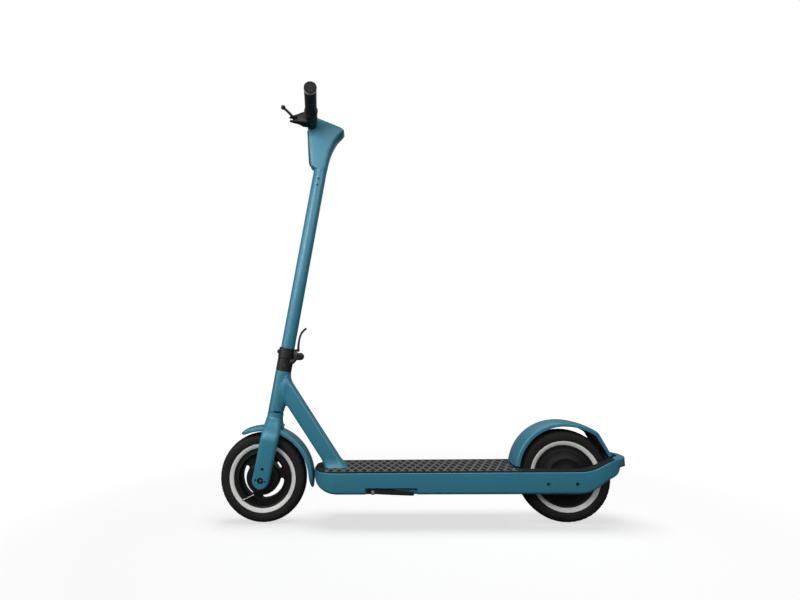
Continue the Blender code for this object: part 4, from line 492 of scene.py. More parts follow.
def smooth_row(table, where):
    """Reads a table of rows by its first column along a smooth curve that never overshoots its rows."""
    if where <= table[0][0]:
        return table[0][1:]
    if where >= table[-1][0]:
        return table[-1][1:]
    k = max(i for i in range(len(table) - 1) if table[i][0] <= where)

    def slope(i, column):
        return (table[i + 1][column] - table[i][column]) / (table[i + 1][0] - table[i][0])

    def slope_at(i, column):
        if i == 0 or i == len(table) - 1:
            return slope(k, column)
        before, after = slope(i - 1, column), slope(i, column)
        return 0.0 if before * after <= 0 else 2 * before * after / (before + after)

    low, high = table[k], table[k + 1]
    step = high[0] - low[0]
    t = (where - low[0]) / step
    t2, t3 = t ** 2, t ** 3
    return tuple((2 * t3 - 3 * t2 + 1) * low[column] + (t3 - 2 * t2 + t) * step * slope_at(k, column)
                 + (3 * t2 - 2 * t3) * high[column] + (t3 - t2) * step * slope_at(k + 1, column)
                 for column in range(1, len(low)))


def add_object(name, data):
    obj = bpy.data.objects.new(name, data)
    bpy.context.scene.collection.objects.link(obj)
    return obj


def mesh_object(name, bm):
    mesh = bpy.data.meshes.new(name)
    bm.to_mesh(mesh)
    bm.free()
    return add_object(name, mesh)


def evaluated_mesh(obj):
    return bpy.data.meshes.new_from_object(obj.evaluated_get(bpy.context.evaluated_depsgraph_get()))


def finish_mesh(obj, material, sharp):
    obj.data.materials.clear()
    obj.data.materials.append(material)
    obj.data.shade_smooth()
    obj.data.set_sharp_from_angle(angle=radians(sharp))


def piece(name, bm, body, slot, material=None, sharp=34, cuts=()):
    """Makes a piece in world coordinates, with its cuts carried out, that rides on a body."""
    obj = mesh_object(name, bm)
    tools = [mesh_object(f"{name}_tool_{k}", cutter) for k, cutter in enumerate(cuts)]
    for tool in tools:
        modifier = obj.modifiers.new(tool.name, "BOOLEAN")
        modifier.operation = "DIFFERENCE"
        modifier.solver = "EXACT"
        modifier.object = tool
    if tools:
        baked = evaluated_mesh(obj)
        obj.modifiers.clear()
        obj.data = baked
        for tool in tools:
            bpy.data.objects.remove(tool)
    finish_mesh(obj, material or SLOT_MATERIALS[slot], sharp)
    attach(obj, body)
    return obj


def skin(name, bm, node, material=None, sharp=34, cuts=()):
    """A piece that stands for a CAD node, on its body and with its finish."""
    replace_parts(piece(name, bm, NODE_BODIES[node], NODE_SLOTS[node], material, sharp, cuts), node)


def dress(node, width=0.0006, segments=2):
    """A copy of a CAD node with its edges rounded, which stands for the node."""
    bm = bmesh.new()
    bm.from_mesh(frame["nodes"][node].data)
    bmesh.ops.remove_doubles(bm, verts=bm.verts, dist=1e-6)
    bmesh.ops.dissolve_limit(bm, angle_limit=radians(0.8), verts=bm.verts, edges=bm.edges)
    obj = piece(node + "_finished", bm, NODE_BODIES[node], NODE_SLOTS[node])
    modifier = obj.modifiers.new("edge_rounding", "BEVEL")
    modifier.width = width
    modifier.segments = segments
    modifier.limit_method = "ANGLE"
    modifier.angle_limit = radians(34)
    modifier.harden_normals = True
    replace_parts(obj, node)


def facing(place, direction, lift=0.0):
    """A matrix whose +Z looks along a direction."""
    turn = Vector((0, 0, 1)).rotation_difference(Vector(direction)).to_matrix().to_4x4()
    return Matrix.Translation(place) @ turn @ Matrix.Translation((0, 0, lift))


def screw(place, direction, radius, head, lift=0.0, socket=0.5, depth=0.6):
    """A round screw head that looks along a direction, with a six-sided socket."""
    steps = 24
    key = radius * socket
    loops = []
    for sided, size, height in ((False, radius, 0), (False, radius, head * 0.82),
                                (False, radius * 0.93, head), (True, key * 1.12, head),
                                (True, key, head - radius * 0.1), (True, key, head * (1 - depth))):
        loop = []
        for k in range(steps):
            angle = 2 * pi * k / steps
            reach = size * cos(radians(30)) / cos(radians((degrees(angle) % 60) - 30)) if sided else size
            loop.append((reach * cos(angle), reach * sin(angle), height))
        loops.append(loop)
    return moved(loft(loops), facing(place, direction, lift))


def on_stem(x, y, z):
    return STEM @ Vector((x, y, z))


# Wheels

# The tyre's outside from the crown to a bead, as (radius, half width)
TYRE_HALF = mm(
    (127, 0), (126.8, 6), (126.2, 11.5), (124.7, 16.5), (122.2, 20.7), (118.5, 24), (114, 25.9),
    (108.5, 26.4), (103, 26), (97, 25), (92.5, 23.8), (88, 22.1), (85, 20.7), (83.8, 19.8), (80, 19.6),
    (76.5, 19.3))
RING_INNER, RING_OUTER = 0.0851, 0.0966


def dense_half_profile():
    """The tyre's outside with points close together where the tread is cut."""
    lengths = [0.0]
    for a, b in zip(TYRE_HALF, TYRE_HALF[1:]):
        lengths.append(lengths[-1] + sqrt((a[0] - b[0]) ** 2 + (a[1] - b[1]) ** 2))
    table = [(s, r, y) for s, (r, y) in zip(lengths, TYRE_HALF)]
    marks = mm((0, 3, 3.6, 4, 5, 5.4, 6, 8.5, 10.8, 11.6, 12.4, 15, 18, 20.5, 22.8, 23.6, 24.6))[0]
    rest = [marks[-1] + (lengths[-1] - marks[-1]) * k / 14 for k in range(1, 15)]
    return [smooth_row(table, s) for s in (*marks, *rest)]


def half_width_at(radius):
    return smooth_row(sorted(TYRE_HALF), radius)[0]


def tread_dip(r, y, k):
    """How deep the tread is cut at a place: two grooves round the crown, slanted ones over the shoulder."""
    side = abs(y)
    if r < 0.1165 or side > 0.025:
        return 0.0
    if 0.0037 < side < 0.0053:
        return 0.0016
    step = (k + (3 if y > 0 else 0) + int(side * 260)) % 9
    return 0.0013 if side > 0.0105 and step < 2 else 0.0


def tyre(node, axle):
    """A tyre with cut tread grooves, and a pale ring on each side."""
    outline = dense_half_profile()
    loops = []
    for r, y in [(r, -y) for r, y in reversed(outline)] + outline[1:]:
        loop = []
        for k in range(TREAD_STEPS):
            angle = 2 * pi * k / TREAD_STEPS
            reach = r - tread_dip(r, y, k) - 0.00006
            loop.append((axle[0] + reach * cos(angle), y, axle[2] + reach * sin(angle)))
        loops.append(loop)
    skin(f"{node}_skin", loft(loops, capped=False), node, sharp=50)
    for side, word in SIDES:
        ring = []
        for k in range(13):
            r = RING_INNER + (RING_OUTER - RING_INNER) * k / 12
            swell = 0.0006 * sqrt(max(0.0, 1 - ((k - 6) / 6.0) ** 2)) + 0.0001
            ring.append((r, side * (half_width_at(r) + swell)))
        ring += [(r, side * (half_width_at(r) - 0.0008)) for r in (RING_OUTER, RING_INNER)]
        ring = lathe(ring, "Y", axle, 144)
        piece(f"{node}_skin_pale_ring_{word}", ring, NODE_BODIES[node], "tyre_rubber", SIDEWALL, 60)


tyre("front_tyre", FRONT_AXLE)
tyre("rear_tyre", REAR_AXLE)


def slot_cutter(middle):
    """A curved slot with round ends, drawn about the front axle."""
    centre_radius = (SLOT_INNER_RADIUS + SLOT_OUTER_RADIUS) / 2
    half_width = (SLOT_OUTER_RADIUS - SLOT_INNER_RADIUS) / 2
    trim = degrees(half_width / centre_radius)
    start, end = middle - SLOT_SPAN / 2 + trim, middle + SLOT_SPAN / 2 - trim
    outline = arc((0, 0), SLOT_OUTER_RADIUS, start, end, 20)
    outline += arc(centre_radius * heading(end), half_width, end, end + 180, 8)[1:-1]
    outline += arc((0, 0), SLOT_INNER_RADIUS, end, start, 20)
    outline += arc(centre_radius * heading(start), half_width, start + 180, start + 360, 8)[1:-1]
    return prism(outline, "Y", -0.03, 0.03)


# The rims' outside and the insides that follow from it, as (radius, half width)
RIM_OUTSIDE = [
    (SEAT_RADIUS - 0.003, 0.006), (SEAT_RADIUS - 0.003, 0.015), (SEAT_RADIUS, 0.018), (SEAT_RADIUS, 0.0198),
    (FLANGE_RADIUS - 0.0008, 0.02), (FLANGE_RADIUS, 0.0207), (FLANGE_RADIUS, 0.0219),
    (FLANGE_RADIUS - 0.0007, 0.0225), (FLANGE_RADIUS - 0.0022, 0.0225), (0.0802, 0.0214), (0.075, 0.0214),
    (0.0722, 0.0221)]
HUB_LEFT = mm((70, -22.1), (68.6, -20), (67.2, -12.8), (65.5, -10.6), (50, -10.6), (48.6, -12.5), (47, -25.5),
              (45.5, -28.5), (40, -29.6), (39.2, -31), (25, -31), (24, -29.6))
HUB_LEFT += [(BEARING_RADIUS + 0.0003, -0.0296), (0.007, -0.027)]
HUB_RIGHT = mm((70, 22.1), (68.6, 20), (67.2, 12.8), (65.5, 10.6), (50, 10.6), (48.8, 12.5), (47.2, 25),
               (43.3, 25), (43.3, -6), (19, -6), (17.5, 15), (7, 15))
MOTOR_COVER = mm((6.3, 29), (6.3, 34.5), (14, 34.5), (15, 33.8), (15.8, 31.8), (17.2, 30.9), (42, 29.6),
                 (45.5, 29.6), (46.6, 30.6), (49, 30.6), (50.2, 29), (60, 26.2), (69, 24.6), (71.2, 24.6),
                 (74.2, 23.8), (74.2, 20), (58, 20))


def front_wheel():
    spin = Matrix.Translation(FRONT_AXLE) @ Matrix.Rotation(LEAN, 4, "Y")
    body = moved(lathe(mirrored(RIM_OUTSIDE) + HUB_RIGHT + HUB_LEFT[::-1]), spin)
    cuts = [moved(slot_cutter(angle), spin) for angle in SLOT_ANGLES]
    skin("front_wheel_casting", body, "front_wheel", CAST_BLACK, cuts=cuts)
    bolts = []
    for k in range(6):
        across = 0.0325 * heading(60 * k + 20)
        place = spin @ Vector((across.x, -0.031, across.y))
        bolts.append(screw(place, (0, -1, 0), 0.0032, 0.0012, -0.0004))
    piece("front_hub_bolts", joined(*bolts), "front_wheel_body", "black_metal")
    base, tip = Vector((-0.5085, -0.0262, 0.0655)), Vector((-0.4742, -0.0235, 0.0798))
    length = (tip - base).length
    stem = mm((0, 0), (1.4, 0), (1.4, 12), (1, 12.5), (1, 26), (1.4, 26.5), (1.4, 33))
    stem += [(0.001, length), (0, length)]
    valve = moved(lathe(stem, "Z", steps=20), facing(base, tip - base))
    piece("front_valve", valve, "front_wheel_body", "steel", PALE_METAL)


def rear_wheel():
    rotor = mirrored(RIM_OUTSIDE + mm((71.2, 19.5), (65.5, 19.5)))
    skin("motor_rotor_skin", lathe(rotor, "Y", REAR_AXLE), "motor_rotor", CAST_BLACK)
    bolt_circle = 0.065
    for side, word in SIDES:
        cover = [lathe([(r, side * y) for r, y in MOTOR_COVER], "Y", REAR_AXLE)]
        for k in range(12):
            out = bolt_circle * heading(30 * k + 15)
            place = (REAR_AXLE_X + out.x, side * 0.0252, WHEEL_RADIUS + out.y)
            cover.append(screw(place, (0, side, 0), 0.0026, 0.0014, -0.0006))
        skin(f"motor_cover_{word}_skin", joined(*cover), f"motor_cover_{word}", CAST_BLACK)


front_wheel()
rear_wheel()


# Deck

def deck_section(x):
    """Half width, bottom and top of the deck at a place along its length."""
    if x < DECK_NOSE_X + DECK_NOSE_LENGTH:
        back = 1 - (x - DECK_NOSE_X) / DECK_NOSE_LENGTH
        half = DECK_HALF_WIDTH * (1 - back ** 2.3) ** 0.44
        return half, DECK_BOTTOM + NOSE_RISE * (1 - sqrt(max(0.0, 1 - back ** 2))), DECK_TOP
    rise = [(-0.017, 0.0), (0.0025, 0.03), (0.0388, 0.28), (0.0627, 0.5), (0.096, 0.74), (0.106, 1.0)]
    climb = [(0.0, 0.0), (0.023, 0.15), (0.088, 0.93), (0.105, 1.0)]
    bottom = DECK_BOTTOM + (TAIL_BOTTOM - DECK_BOTTOM) * smooth_row(rise, x - TAIL_START_X)[0]
    top = DECK_TOP + (TAIL_TOP - DECK_TOP) * smooth_row(climb, x - TAIL_START_X)[0]
    share = within((x - TAIL_START_X) / (TAIL_END_X - TAIL_START_X))
    return DECK_HALF_WIDTH * (1 - share ** 2) ** 0.375, bottom, top


def deck_stations(front, rear):
    """Places along the deck between two ends, closer together where its outline turns."""
    stations = [DECK_NOSE_X + DECK_NOSE_LENGTH * (1 - cos(radians(3 * k))) for k in range(2, 31)]
    stations += [-0.1, 0.05, 0.2, 0.35] + [TAIL_START_X - 0.018 + 0.006 * k for k in range(3)]
    stations += [TAIL_START_X + (TAIL_END_X - TAIL_START_X) * sin(radians(90 * k / 40)) for k in range(40)]
    return [front] + sorted(x for x in stations if front + 1e-4 < x < rear - 1e-4) + [rear]


def wheel_slot(margin, low, high):
    corner_low = (WHEEL_SLOT_FRONT - margin, -WHEEL_SLOT_HALF_WIDTH - margin)
    corner_high = (WHEEL_SLOT_REAR + margin, WHEEL_SLOT_HALF_WIDTH + margin)
    return prism(rounded_loop(corner_low, corner_high, (0.022, 0.04, 0.04, 0.022), 12), "Z", low, high)


def deck():
    loops = []
    for x in deck_stations(DECK_NOSE_X + 0.0002, TAIL_END_X - 0.0014):
        half, bottom, top = deck_section(x)
        loops.append(section("X", x, bottom, top, half, (0.01, 0.01, 0.0024, 0.0024), 7))
    x, y, z = STAND_PIVOT
    below = DECK_BOTTOM - 0.01
    cuts = [
        wheel_slot(0.0, DECK_BOTTOM - 0.02, TAIL_TOP + 0.02),
        box((-0.215, -0.066, below), (0.255, 0.066, 0.146), 0.008),
        box((x - 0.021, -0.093, below), (x + 0.121, -0.0705, z + 0.0093)),
        box((TAIL_LIGHT_X - 0.0055, -0.08, TAIL_BOTTOM + 0.0016),
            (TAIL_END_X + 0.02, 0.08, TAIL_TOP - 0.0036)),
    ]
    screws = []
    for side in (-1, 1):
        cuts.append(disc(0.0135, *span(side, 0.048, 0.068), "Y", REAR_AXLE))
        for back in DECK_BOLTS:
            through = span(side, DECK_HALF_WIDTH - 0.006, DECK_HALF_WIDTH + 0.005)
            cuts.append(disc(0.0046, *through, "Y", (REAR_AXLE_X + back, 0, DECK_BOLT_HEIGHT)))
            place = (REAR_AXLE_X + back, side * (DECK_HALF_WIDTH - 0.0058), DECK_BOLT_HEIGHT)
            screws.append(screw(place, (0, side, 0), 0.0042, 0.0026, 0.0, 0.6, 0.9))
    cuts.append(disc(0.0085, 0.063, DECK_HALF_WIDTH + 0.005, "Y", (-0.165, 0, 0.124)))
    skin("deck_shell", loft(loops), "deck_frame", cuts=cuts)
    piece("deck_side_screws", joined(*screws), "chassis", "black_metal")


def down_tube(z):
    """Front and rear edges, half width and flare of the down tube, which narrows at the head tube."""
    flare = max(0.0, 1 - (z - DECK_TOP) / 0.03) ** 2
    front = -0.2602 - (z - DECK_TOP) * 0.6523 - 0.008 * flare
    rear = -0.2058 - (z - DECK_TOP) * 0.6377 + 0.0068 * flare
    half = DOWN_TUBE_HALF_WIDTH + DOWN_TUBE_FLARE * flare - 0.006 * within((z - 0.385) / 0.027) ** 2
    return front, rear, half, flare


def mat():
    loops = []
    for x in deck_stations(DECK_NOSE_X + 0.0042, MAT_REAR_X):
        half, _, top = deck_section(x)
        edge, low = half - 0.0018, top + 0.0003
        loops.append(section("X", x, low, low + MAT_THICKNESS, edge, (0.0002, 0.0002, 0.0012, 0.0012), 3))
    front, rear = down_tube(DECK_TOP + 0.0015)[:2]
    low, high = DECK_TOP - 0.01, DECK_TOP + 0.01
    foot = prism(rounded_loop((front - 0.0006, -0.031), (rear, 0.031), 0.0168, 8), "Z", low, high)
    wide = REAR_FENDER_HALF_WIDTH + 0.0003
    under_fender = box((REAR_AXLE_X - REAR_FENDER_RADIUS - 0.0003, -wide, low),
                       (WHEEL_SLOT_FRONT + 0.02, wide, high))
    cuts = [foot, wheel_slot(0.0005, DECK_BOTTOM, TAIL_TOP + 0.03), under_fender]
    skin("deck_mat_skin", loft(loops), "deck_mat", cuts=cuts)


def neck_distances(point):
    """Distances of a point from the head tube's side and from the down tube's sides."""
    local = STEM_INVERSE @ point
    head = sqrt(local.x ** 2 + local.y ** 2) - NECK_RADIUS
    front, rear, half, _ = down_tube(point.z)
    squareness = 0.84  # the cosine of the down tube's lean, to turn a level distance into one across it
    a = (abs(point.x - (front + rear) / 2) - (rear - front) / 2) * squareness + DOWN_TUBE_CORNER
    b = abs(point.y) - half + DOWN_TUBE_CORNER
    side = sqrt(max(a, 0.0) ** 2 + max(b, 0.0) ** 2) + min(max(a, b), 0.0) - DOWN_TUBE_CORNER
    return head, max(side, point.z - 0.411)


def neck_blend(point):
    head, side = neck_distances(point)
    reach = 0.0004 + 0.015 * within((STEM_INVERSE @ point).x / 0.015)
    near = max(reach - abs(head - side), 0.0) / reach
    return min(head, side) - near * near * reach / 4


def neck_fillet(solid):
    """The rounded skin between the two tubes: points of their union moved out to a smooth blend of both."""
    obj = mesh_object("neck_union", solid)
    remesh = obj.modifiers.new("remesh", "REMESH")
    remesh.mode = "VOXEL"
    remesh.voxel_size = 0.0014
    bm = bmesh.new()
    bm.from_mesh(evaluated_mesh(obj))
    bpy.data.objects.remove(obj)
    step = 0.0002
    offsets = [Vector(axis) * step for axis in ((1, 0, 0), (0, 1, 0), (0, 0, 1))]
    spare = []
    for vert in bm.verts:
        if max(neck_distances(vert.co)) > 0.026 or (STEM_INVERSE @ vert.co).z > NECK_TOP - 0.003:
            spare.append(vert)
            continue
        for _ in range(4):
            here = neck_blend(vert.co)
            slope = Vector([(neck_blend(vert.co + offset) - here) / step for offset in offsets])
            vert.co -= slope * (here / max(slope.length_squared, 0.1))
        if min(neck_distances(vert.co)) < 0.00004:
            spare.append(vert)
    bmesh.ops.delete(bm, geom=spare, context="VERTS")
    return bm


def neck():
    loops = []
    heights = [DECK_TOP + 0.0003 + 0.03 * (k / 12) ** 1.6 for k in range(13)]
    heights += [0.19 + 0.222 * k / 30 for k in range(31)]
    for z in heights:
        front, rear, half, flare = down_tube(z)
        front = max(front, FRONT_AXLE_X + (z - WHEEL_RADIUS) * tan(LEAN))
        loops.append(section("Z", z, front, rear, half, DOWN_TUBE_CORNER + 0.006 * flare, 8))
    ring = [(0, NECK_BOTTOM), (NECK_RADIUS - 0.0014, NECK_BOTTOM), (NECK_RADIUS, NECK_BOTTOM + 0.0012),
            (NECK_RADIUS, NECK_TOP - 0.0006), (NECK_RADIUS - 0.0006, NECK_TOP), (0, NECK_TOP)]
    tubes = joined(moved(lathe(ring, "Z"), STEM), loft(loops))
    piece("neck_fillet", neck_fillet(tubes.copy()), "chassis", "teal_paint", sharp=80)
    sector = arc((0, 0), 0.035, -98, 98, 32) + arc((0, 0), 0.015, 98, -98, 32)
    below = NECK_BOTTOM - 0.01
    cuts = [prism(sector, "Z", below, NECK_BOTTOM + 0.0056),
            disc(0.0208, below, NECK_BOTTOM + 0.0137, "Z", steps=48)]
    skin("neck_skin", tubes, "neck", sharp=40, cuts=[moved(cut, STEM) for cut in cuts])
    # A black ring in the gap under the head tube: the bearing's dust seal, made black so that it also paints
    # the shade in the gap.
    shade_seal = moved(tube(0.0152, 0.0206, NECK_BOTTOM + 0.0002, NECK_BOTTOM + 0.012, "Z"), STEM)
    piece("headset_shade_seal", shade_seal, "chassis", "black_plastic")


deck()
mat()
neck()


# Fork and fenders

# Depth below the axle, front edge, rear edge, half width and corner radius, down the fork
FORK_TABLE = [(-(NECK_BOTTOM - 0.0003), -NECK_RADIUS, NECK_RADIUS, NECK_RADIUS, NECK_RADIUS),
              (-0.174, -NECK_RADIUS, 0.024, 0.0243, 0.023)]
FORK_TABLE += mm((-164, -24, 25, 30, 20), (-154, -24, 26.5, 39.5, 17), (-142, -23.9, 28, 49, 15),
                 (-128, -23.7, 28.8, 56, 13), (-110, -23.5, 28.5, 59.5, 11))
FORK_TABLE += [(-0.06, -0.0234, 0.0265, FORK_HALF_WIDTH, 0.009),
               (-0.01, -0.024, 0.0252, FORK_HALF_WIDTH, 0.008),
               (0.0, -0.0245, 0.0245, FORK_HALF_WIDTH, 0.0075)]

# The arch between the fork's legs, as (height, half width), and a fender's edge from its skirt to its
# crown, as (place, share of half width, share of depth)
ARCH = mm((120, 38), (130, 37.9), (143, 36), (152.5, 29), (156, 20), (157.5, 12))
FENDER_EDGE = [(0.0, 1.0, 0.45), (0.33, 0.965, 0.28), (0.62, 0.86, 0.145), (1.0, 0.62, 0.055),
               (1.55, 0.3, 0.012), (2.1, 0.0, 0.0)]


def fork():
    loops = []
    crown = NECK_BOTTOM - 0.0003
    heights = [-crown, -crown + 0.0006, -crown + 0.0012]
    heights += [-crown + (crown - 0.105) * k / 26 for k in range(1, 26)]
    heights += [-0.105 + 0.105 * k / 12 for k in range(13)]
    for height in heights:
        front, rear, half, radius = smooth_row(FORK_TABLE, height)
        trim = max(0.0, 0.0012 - height - crown) * 1.2
        loops.append(section("Z", -height, front + trim, rear - trim, half - trim, radius - trim, 8))
    for k in range(1, 15):
        drop = FORK_END_RADIUS * sin(radians(83 * k / 14))
        reach = sqrt(FORK_END_RADIUS ** 2 - drop ** 2)
        loops.append(section("Z", -drop, -reach, reach, FORK_HALF_WIDTH, 0.007, 8))
    arch = [(FORK_SLOT_HALF_WIDTH, -0.06), (FORK_SLOT_HALF_WIDTH, 0.12)]
    for k in range(1, 25):
        height = 0.12 + 0.0375 * k / 24
        arch.append((smooth_row(ARCH, height)[0], height))
    arch.append((0.0, FORK_ARCH_TOP))
    arch += [(-y, z) for y, z in reversed(arch[:-1])]
    recess, bore = 0.0092, 0.0062
    hole = mirrored([(bore, 0.0482), (recess, 0.0482), (recess, 0.07), (0, 0.07)])
    cuts = [prism(arch, "X", -0.05, 0.05), lathe(hole, steps=48)]
    screws = []
    for side in (-1, 1):
        through = span(side, 0.054, 0.07)
        out = (0, side, 0)
        cuts.append(disc(0.0042, *through, "Y", (0.0, 0, LEG_SCREW_HEIGHT)))
        for back in LEG_SCREWS:
            cuts.append(disc(0.003, *through, "Y", (back, 0, 0.0), 24))
            screws.append(screw(on_stem(back, side * 0.0545, 0.0), out, 0.0027, 0.0016))
        screws.append(screw(on_stem(0.0, side * 0.0545, LEG_SCREW_HEIGHT), out, 0.0038, 0.0012))
        screws.append(screw(on_stem(0.0, side * 0.054, 0.0), out, 0.006, 0.0038, socket=0.62))
    skin("fork_skin", moved(loft(loops), STEM), "fork", sharp=36, cuts=[moved(cut, STEM) for cut in cuts])
    lug = arc((0, 0), NECK_RADIUS - 0.0008, -50, 50, 24) + arc((0, 0), 0.0209, 50, -50, 24)
    stop = moved(prism(lug, "Z", NECK_BOTTOM + 0.0004, NECK_BOTTOM + 0.0024), STEM)
    piece("steering_stop", stop, "steered_fork", "teal_paint")
    piece("fork_leg_screws", joined(*screws), "steered_fork", "black_metal", END_RUBBER)


def fender_loop(centre, crown, skirt, half_width, wall, direction):
    """A fender's cross-section, outside and inside, at a point and along an outward direction."""
    half = [(1.0, 1.0), (1.0, 0.72), (1.0, 0.45)]
    half += [smooth_row(FENDER_EDGE, 2.1 * k / 14) for k in range(1, 15)]
    outside = [(-a, b) for a, b in half] + [(a, b) for a, b in reversed(half[:-1])]
    depth = crown - skirt
    points = [(half_width * a, crown - depth * b) for a, b in outside]
    points += [((half_width - wall) * a, crown - wall - (depth - wall) * b) for a, b in reversed(outside)]
    return [(centre[0] + direction[0] * r, y, centre[1] + direction[1] * r) for y, r in points]


def rear_fender_stations():
    """Stations along the fender's crown as (point, outward direction, depth): arc, bend, straight foot."""
    centre = Vector((REAR_AXLE_X, WHEEL_RADIUS + REAR_FENDER_RAISE))
    depth = REAR_FENDER_DEPTH
    arc_end = REAR_FENDER_BEND + 3
    stations = []
    for k in range(61):
        degree = 170 + (arc_end - 170) * k / 60
        radius = REAR_FENDER_RADIUS + REAR_FENDER_SWELL * max(0.0, cos(radians(degree))) ** 2
        stations.append((centre + heading(degree) * radius, heading(degree), depth))
    swell = REAR_FENDER_SWELL * cos(radians(REAR_FENDER_BEND)) ** 2
    bend = centre + heading(REAR_FENDER_BEND) * (REAR_FENDER_RADIUS + swell)
    foot = Vector((TAIL_START_X + 0.096, TAIL_TOP + 0.0064))
    run = (foot - bend).normalized()
    outward = Vector((-run.y, run.x))
    turned = degrees(atan2(outward.y, outward.x))
    first, last = stations[-1][0], bend + run * 0.009
    corner = bend + heading(36) * 0.0004
    for k in range(1, 13):
        share = k / 13
        point = first * (1 - share) ** 2 + corner * 2 * share * (1 - share) + last * share ** 2
        stations.append((point, heading(arc_end * (1 - share) + turned * share), depth))
    for k in range(9):
        share = k / 8
        stations.append((last.lerp(foot, share), outward, depth + (REAR_FENDER_FOOT_DEPTH - depth) * share))
    return stations


def rear_fender():
    below = box((0.15, -0.08, 0.1), (REAR_AXLE_X - 0.05, 0.08, DECK_TOP + 0.0003))
    wall, gap = 0.0026, 0.0001
    shell, shade_liner = [], []
    for point, outward, depth in rear_fender_stations():
        shell.append(fender_loop(point, 0.0, -depth, REAR_FENDER_HALF_WIDTH, wall, outward))
        inside = REAR_FENDER_HALF_WIDTH - wall - gap
        # A thin black sheet inside the fender paints the dark under its crown, which is in part shade.
        shade_liner.append(fender_loop(point, -wall - gap, -depth + 0.0003, inside, 0.0005, outward))
    skin("rear_fender_skin", loft(shell), "rear_fender", sharp=40, cuts=[below.copy()])
    piece("rear_fender_shade_liner", loft(shade_liner), "chassis", "black_plastic", sharp=40, cuts=[below])


def front_fender():
    loops = []
    steps = 84
    start, sweep = 117, 128
    for k in range(steps + 1):
        share = k / steps
        degree = start - sweep * share
        front_fade = sqrt(max(0.0, 1 - (1 - min(1.0, (start - degree + 0.3) / 9)) ** 2))
        rear_fade = sqrt(max(0.0, 1 - (1 - min(1.0, (degree + sweep - start + 0.3) / 16)) ** 2))
        fade = min(front_fade, rear_fade)
        crown = FENDER_RADIUS + 0.003 * share ** 2 - 0.006 * (1 - front_fade)
        skirt = crown - max(0.0044, (FENDER_RADIUS - FENDER_SKIRT_RADIUS) * fade)
        half = FENDER_HALF_WIDTH * (0.3 + 0.7 * fade)
        direction = (cos(radians(degree)), sin(radians(degree)))
        loops.append(fender_loop((FRONT_AXLE_X, WHEEL_RADIUS), crown, skirt, half, 0.0022, direction))
    front, rear, top = -0.01, 0.032, FORK_ARCH_TOP - 0.0004
    bracket = [(front, FENDER_RADIUS - 0.001), (rear, FENDER_RADIUS - 0.0045), (rear, top), (front, top)]
    block = moved(eased(prism(bracket, "Y", -0.009, 0.009), 0.001), STEM)
    skin("front_fender_skin", joined(loft(loops), block), "front_fender", sharp=40)


fork()
rear_fender()
front_fender()


# Folding joint

def rounded_ring(inner, outer, low, high, edge=0.0012):
    """The profile of a ring whose outer edges are cut back."""
    return [(inner, low), (outer - edge, low), (outer, low + edge),
            (outer, high - edge), (outer - edge, high)]


def hinge():
    collar = rounded_ring(0.0155, NECK_RADIUS, NECK_TOP + 0.0003, HINGE_SPLIT) + [(0.0155, HINGE_SPLIT)]
    inner = HINGE_RADIUS + 0.0021
    outline = [(0.0165, HINGE_SPLIT - 0.017), (NECK_RADIUS, HINGE_SPLIT - 0.013)]
    outline += arc(FOLD_PIN, LUG_RADIUS, -124, 172, 40)
    outline += [(inner, HINGE_SPLIT - 0.0003), (0.0165, HINGE_SPLIT - 0.0003)]
    lower = joined(lathe(collar, "Z"), *ears(outline, 0.01, 0.0205, 0.001, 3))
    skin("lower_hinge_skin", moved(lower, STEM), "lower_hinge_block")

    bore = TUBE_RADIUS + 0.0003
    floor_height = HINGE_SPLIT + 0.004
    sleeve = rounded_ring(0.01, HINGE_RADIUS, HINGE_SPLIT + 0.0003, HINGE_TOP)
    sleeve += [(bore + 0.0004, HINGE_TOP), (bore, HINGE_TOP - 0.0004),
               (bore, floor_height), (0.01, floor_height)]
    knuckle = [(0.0225, HINGE_SPLIT + 0.0008), (inner, HINGE_SPLIT + 0.0008)]
    knuckle += arc(FOLD_PIN, LUG_RADIUS, -168, 118, 40) + [(0.0225, FOLD_PIN[1] + 0.013)]
    ear = [(0.0225, HINGE_TOP - 0.008)] + arc(LEVER_PIN, 0.0045, -80, 90, 16) + [(0.0225, HINGE_TOP - 0.0006)]
    upper = joined(lathe(sleeve, "Z"), eased(prism(knuckle, "Y", -0.0097, 0.0097), 0.0008, 2, 40),
                   *ears(ear, 0.0063, 0.0095, 0.0006, 2),
                   disc(0.002, -0.0102, 0.0102, "Y", (LEVER_PIN[0], 0, LEVER_PIN[1]), 20),
                   tube(0.0048, 0.0066, -0.0266, -0.0225, "X", (0, 0, FOLD_PIN[1] + 0.0045), 40))
    skin("upper_hinge_skin", moved(upper, STEM), "upper_hinge_block")

    bolts = [screw(on_stem(0.003, side * 0.0228, 0.329), (0, side, 0), 0.0045, 0.0026) for side in (-1, 1)]
    for back, height in mm((-6, 342.5), (8.5, 318.5), (-7.5, 318.5)):
        place = on_stem(back, -sqrt(NECK_RADIUS ** 2 - back ** 2) + 0.0004, height)
        bolts.append(screw(place, (back / NECK_RADIUS, -1, 0), 0.0021, 0.001))
    piece("lower_hinge_bolts", joined(*bolts), "steered_fork", "black_metal", STEEL_DARK)
    half = 0.0208
    pin = [screw(on_stem(FOLD_PIN[0], side * half, FOLD_PIN[1]), (0, side, 0), 0.0068, 0.0028, socket=0.55)
           for side in (-1, 1)]
    pin.append(moved(disc(0.004, -half, half, "Y", (FOLD_PIN[0], 0, FOLD_PIN[1])), STEM))
    skin("fold_pin_skin", joined(*pin), "fold_hinge_pin", BLACK_METAL)


